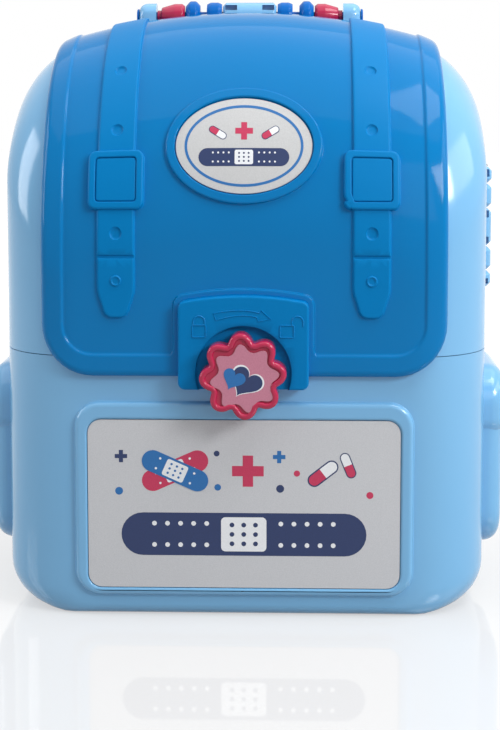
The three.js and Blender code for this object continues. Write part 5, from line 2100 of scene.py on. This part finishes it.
@dataclass
class Studio:
    """White room: a floor with a faint mirror and the case's shadow, and soft windows."""

    floor_half: float = 6000.0
    clear_start: float = 300.0
    clear_end: float = 1100.0
    near_glow: float = 0.63
    far_glow: float = 1.0
    floor_shade: float = 0.27
    mirror: float = 0.15
    mirror_roughness: float = 0.04
    fill: float = 0.25

    def build(self) -> None:
        """Builds the floor, the world and the lights."""
        self.world()
        self.floor()
        self.softbox("window_left", (-1.2, -0.1, 0.62), (-0.1, 0.0, 0.2), (0.45, 0.7), 5.5)
        self.softbox("window_right", (1.13, -0.34, 0.78), (0.1, 0.0, 0.2), (1.1, 0.42), 4.5)
        self.softbox("lamp_right", (0.89, -0.79, 0.74), (0.09, -0.07, 0.21), (0.4, 0.3), 7.0)
        self.softbox("skylight_right", (0.6, -0.3, 1.31), (0.08, -0.06, 0.25), (0.6, 0.42), 5.0)
        self.softbox("front", (0.7, -1.7, 1.0), (0.0, 0.0, 0.14), (0.8, 0.8), 2.5)
        self.softbox("ceiling", (0.0, 0.0, 1.55), (0.0, 0.01, 0.2), (2.4, 2.0), 17.8)

    def seen_white(self, tree: NodeTree) -> NodeSocket:
        """Returns a factor that is one for the rays that show what lies behind the case."""
        path = add_node(tree, "ShaderNodeLightPath").outputs
        factor = path["Is Camera Ray"]
        for kind in ("Is Glossy Ray", "Is Transmission Ray"):
            pair = {0: factor, 1: path[kind]}
            factor = add_node(tree, "ShaderNodeMath", {"operation": "MAXIMUM"}, pair).outputs[0]
        return factor

    def world(self) -> None:
        """Lights the scene evenly and dimly, and shows white behind it."""
        world = bpy.data.worlds.new("studio")
        world.use_nodes = True
        tree = world.node_tree
        tree.nodes.clear()
        dim, white = (
            add_node(tree, "ShaderNodeBackground", {"Color": WHITE, "Strength": strength}).outputs[0]
            for strength in (self.fill, 1.0)
        )
        links = {0: self.seen_white(tree), 1: dim, 2: white}
        mix = add_node(tree, "ShaderNodeMixShader", links=links)
        add_node(tree, "ShaderNodeOutputWorld", links={"Surface": mix.outputs[0]})
        bpy.context.scene.world = world
        bpy.context.scene.view_settings.view_transform = "Standard"

    def floor(self) -> None:
        """Lays a white floor that holds the case's shadow and mirrors it faintly."""
        bm = bmesh.new()
        bmesh.ops.create_grid(bm, x_segments=2, y_segments=2, size=self.floor_half)
        made, tree = started("white_gloss_floor")
        place = add_node(tree, "ShaderNodeTexCoord").outputs["Object"]
        distance = add_node(tree, "ShaderNodeVectorMath", {"operation": "LENGTH"}, {0: place})
        glow = add_node(
            tree,
            "ShaderNodeMapRange",
            {
                "From Min": self.clear_start * MM,
                "From Max": self.clear_end * MM,
                "To Min": self.near_glow,
                "To Max": self.far_glow,
            },
            {"Value": distance.outputs["Value"]},
        )
        factors = {0: glow.outputs["Result"], 1: self.seen_white(tree)}
        strength = add_node(tree, "ShaderNodeMath", {"operation": "MULTIPLY"}, factors)
        feed = {"Strength": strength.outputs[0]}
        white = add_node(tree, "ShaderNodeEmission", {"Color": WHITE}, feed)
        shade = self.floor_shade
        dull = add_node(tree, "ShaderNodeBsdfDiffuse", {"Color": (shade, shade, shade, 1)})
        both = add_node(tree, "ShaderNodeAddShader", links={0: white.outputs[0], 1: dull.outputs[0]})
        gloss = {"Color": WHITE, "Roughness": self.mirror_roughness}
        mirror = add_node(tree, "ShaderNodeBsdfGlossy", gloss)
        mix = add_node(
            tree,
            "ShaderNodeMixShader",
            {"Fac": self.mirror},
            {1: both.outputs[0], 2: mirror.outputs[0]},
        )
        add_node(tree, "ShaderNodeOutputMaterial", links={"Surface": mix.outputs[0]})
        to_object(bm, "floor", [made])

    def softbox(self, name: str, place: Space, target: Space, size: Point, power: float) -> None:
        """Hangs an area light.

        Args:
            name: The light's name.
            place: Where it hangs, in metres.
            target: What it faces, in metres.
            size: Width and height, in metres.
            power: Watts.
        """
        lamp = bpy.data.lights.new(name, "AREA")
        lamp.shape = "RECTANGLE"
        lamp.size, lamp.size_y = size
        lamp.energy = power
        made = bpy.data.objects.new(name, lamp)
        made.location = place
        way = Vector(target) - Vector(place)
        made.rotation_euler = way.to_track_quat("-Z", "Y").to_euler()
        bpy.context.scene.collection.objects.link(made)


@dataclass(frozen=True)
class PhotoCamera:
    """The camera that took the photograph, fitted to it: pixels, metres and radians."""

    width: float = 500.0
    height: float = 730.0
    focal_length: float = 1694.2
    middle_row: float = 262.7
    sensor_mm: float = 36.0
    place: Space = (0.026159, -0.875, 0.254233)
    downward: float = 0.102
    turn: float = 0.029

    def build(self) -> None:
        """Sets the camera where the photograph was taken from."""
        lens = bpy.data.cameras.new("photo_camera")
        lens.sensor_fit = "HORIZONTAL"
        lens.sensor_width = self.sensor_mm
        lens.lens = self.focal_length / self.width * self.sensor_mm
        lens.shift_y = -(self.height / 2 - self.middle_row) / self.width
        lens.clip_start, lens.clip_end = 0.05, 20.0
        camera = bpy.data.objects.new("photo_camera", lens)
        camera.location = self.place
        camera.rotation_euler = (math.pi / 2 - self.downward, 0.0, self.turn)
        bpy.context.scene.collection.objects.link(camera)
        bpy.context.scene.camera = camera


def main() -> None:
    """Builds the case's pieces, the stage and the camera."""
    logging.basicConfig(level=logging.INFO, format="%(message)s")
    PhotoCamera().build()
    finishes = FinishSet()
    BodyShells(finishes).build()
    FrontFlap(finishes).build()
    Knob(finishes).build()
    CarryingHandle(finishes).build()
    SidePockets(finishes).build()
    Prints(finishes).build()
    dress_plain_nodes(finishes)
    Studio().build()


if __name__ == "__main__":
    main()
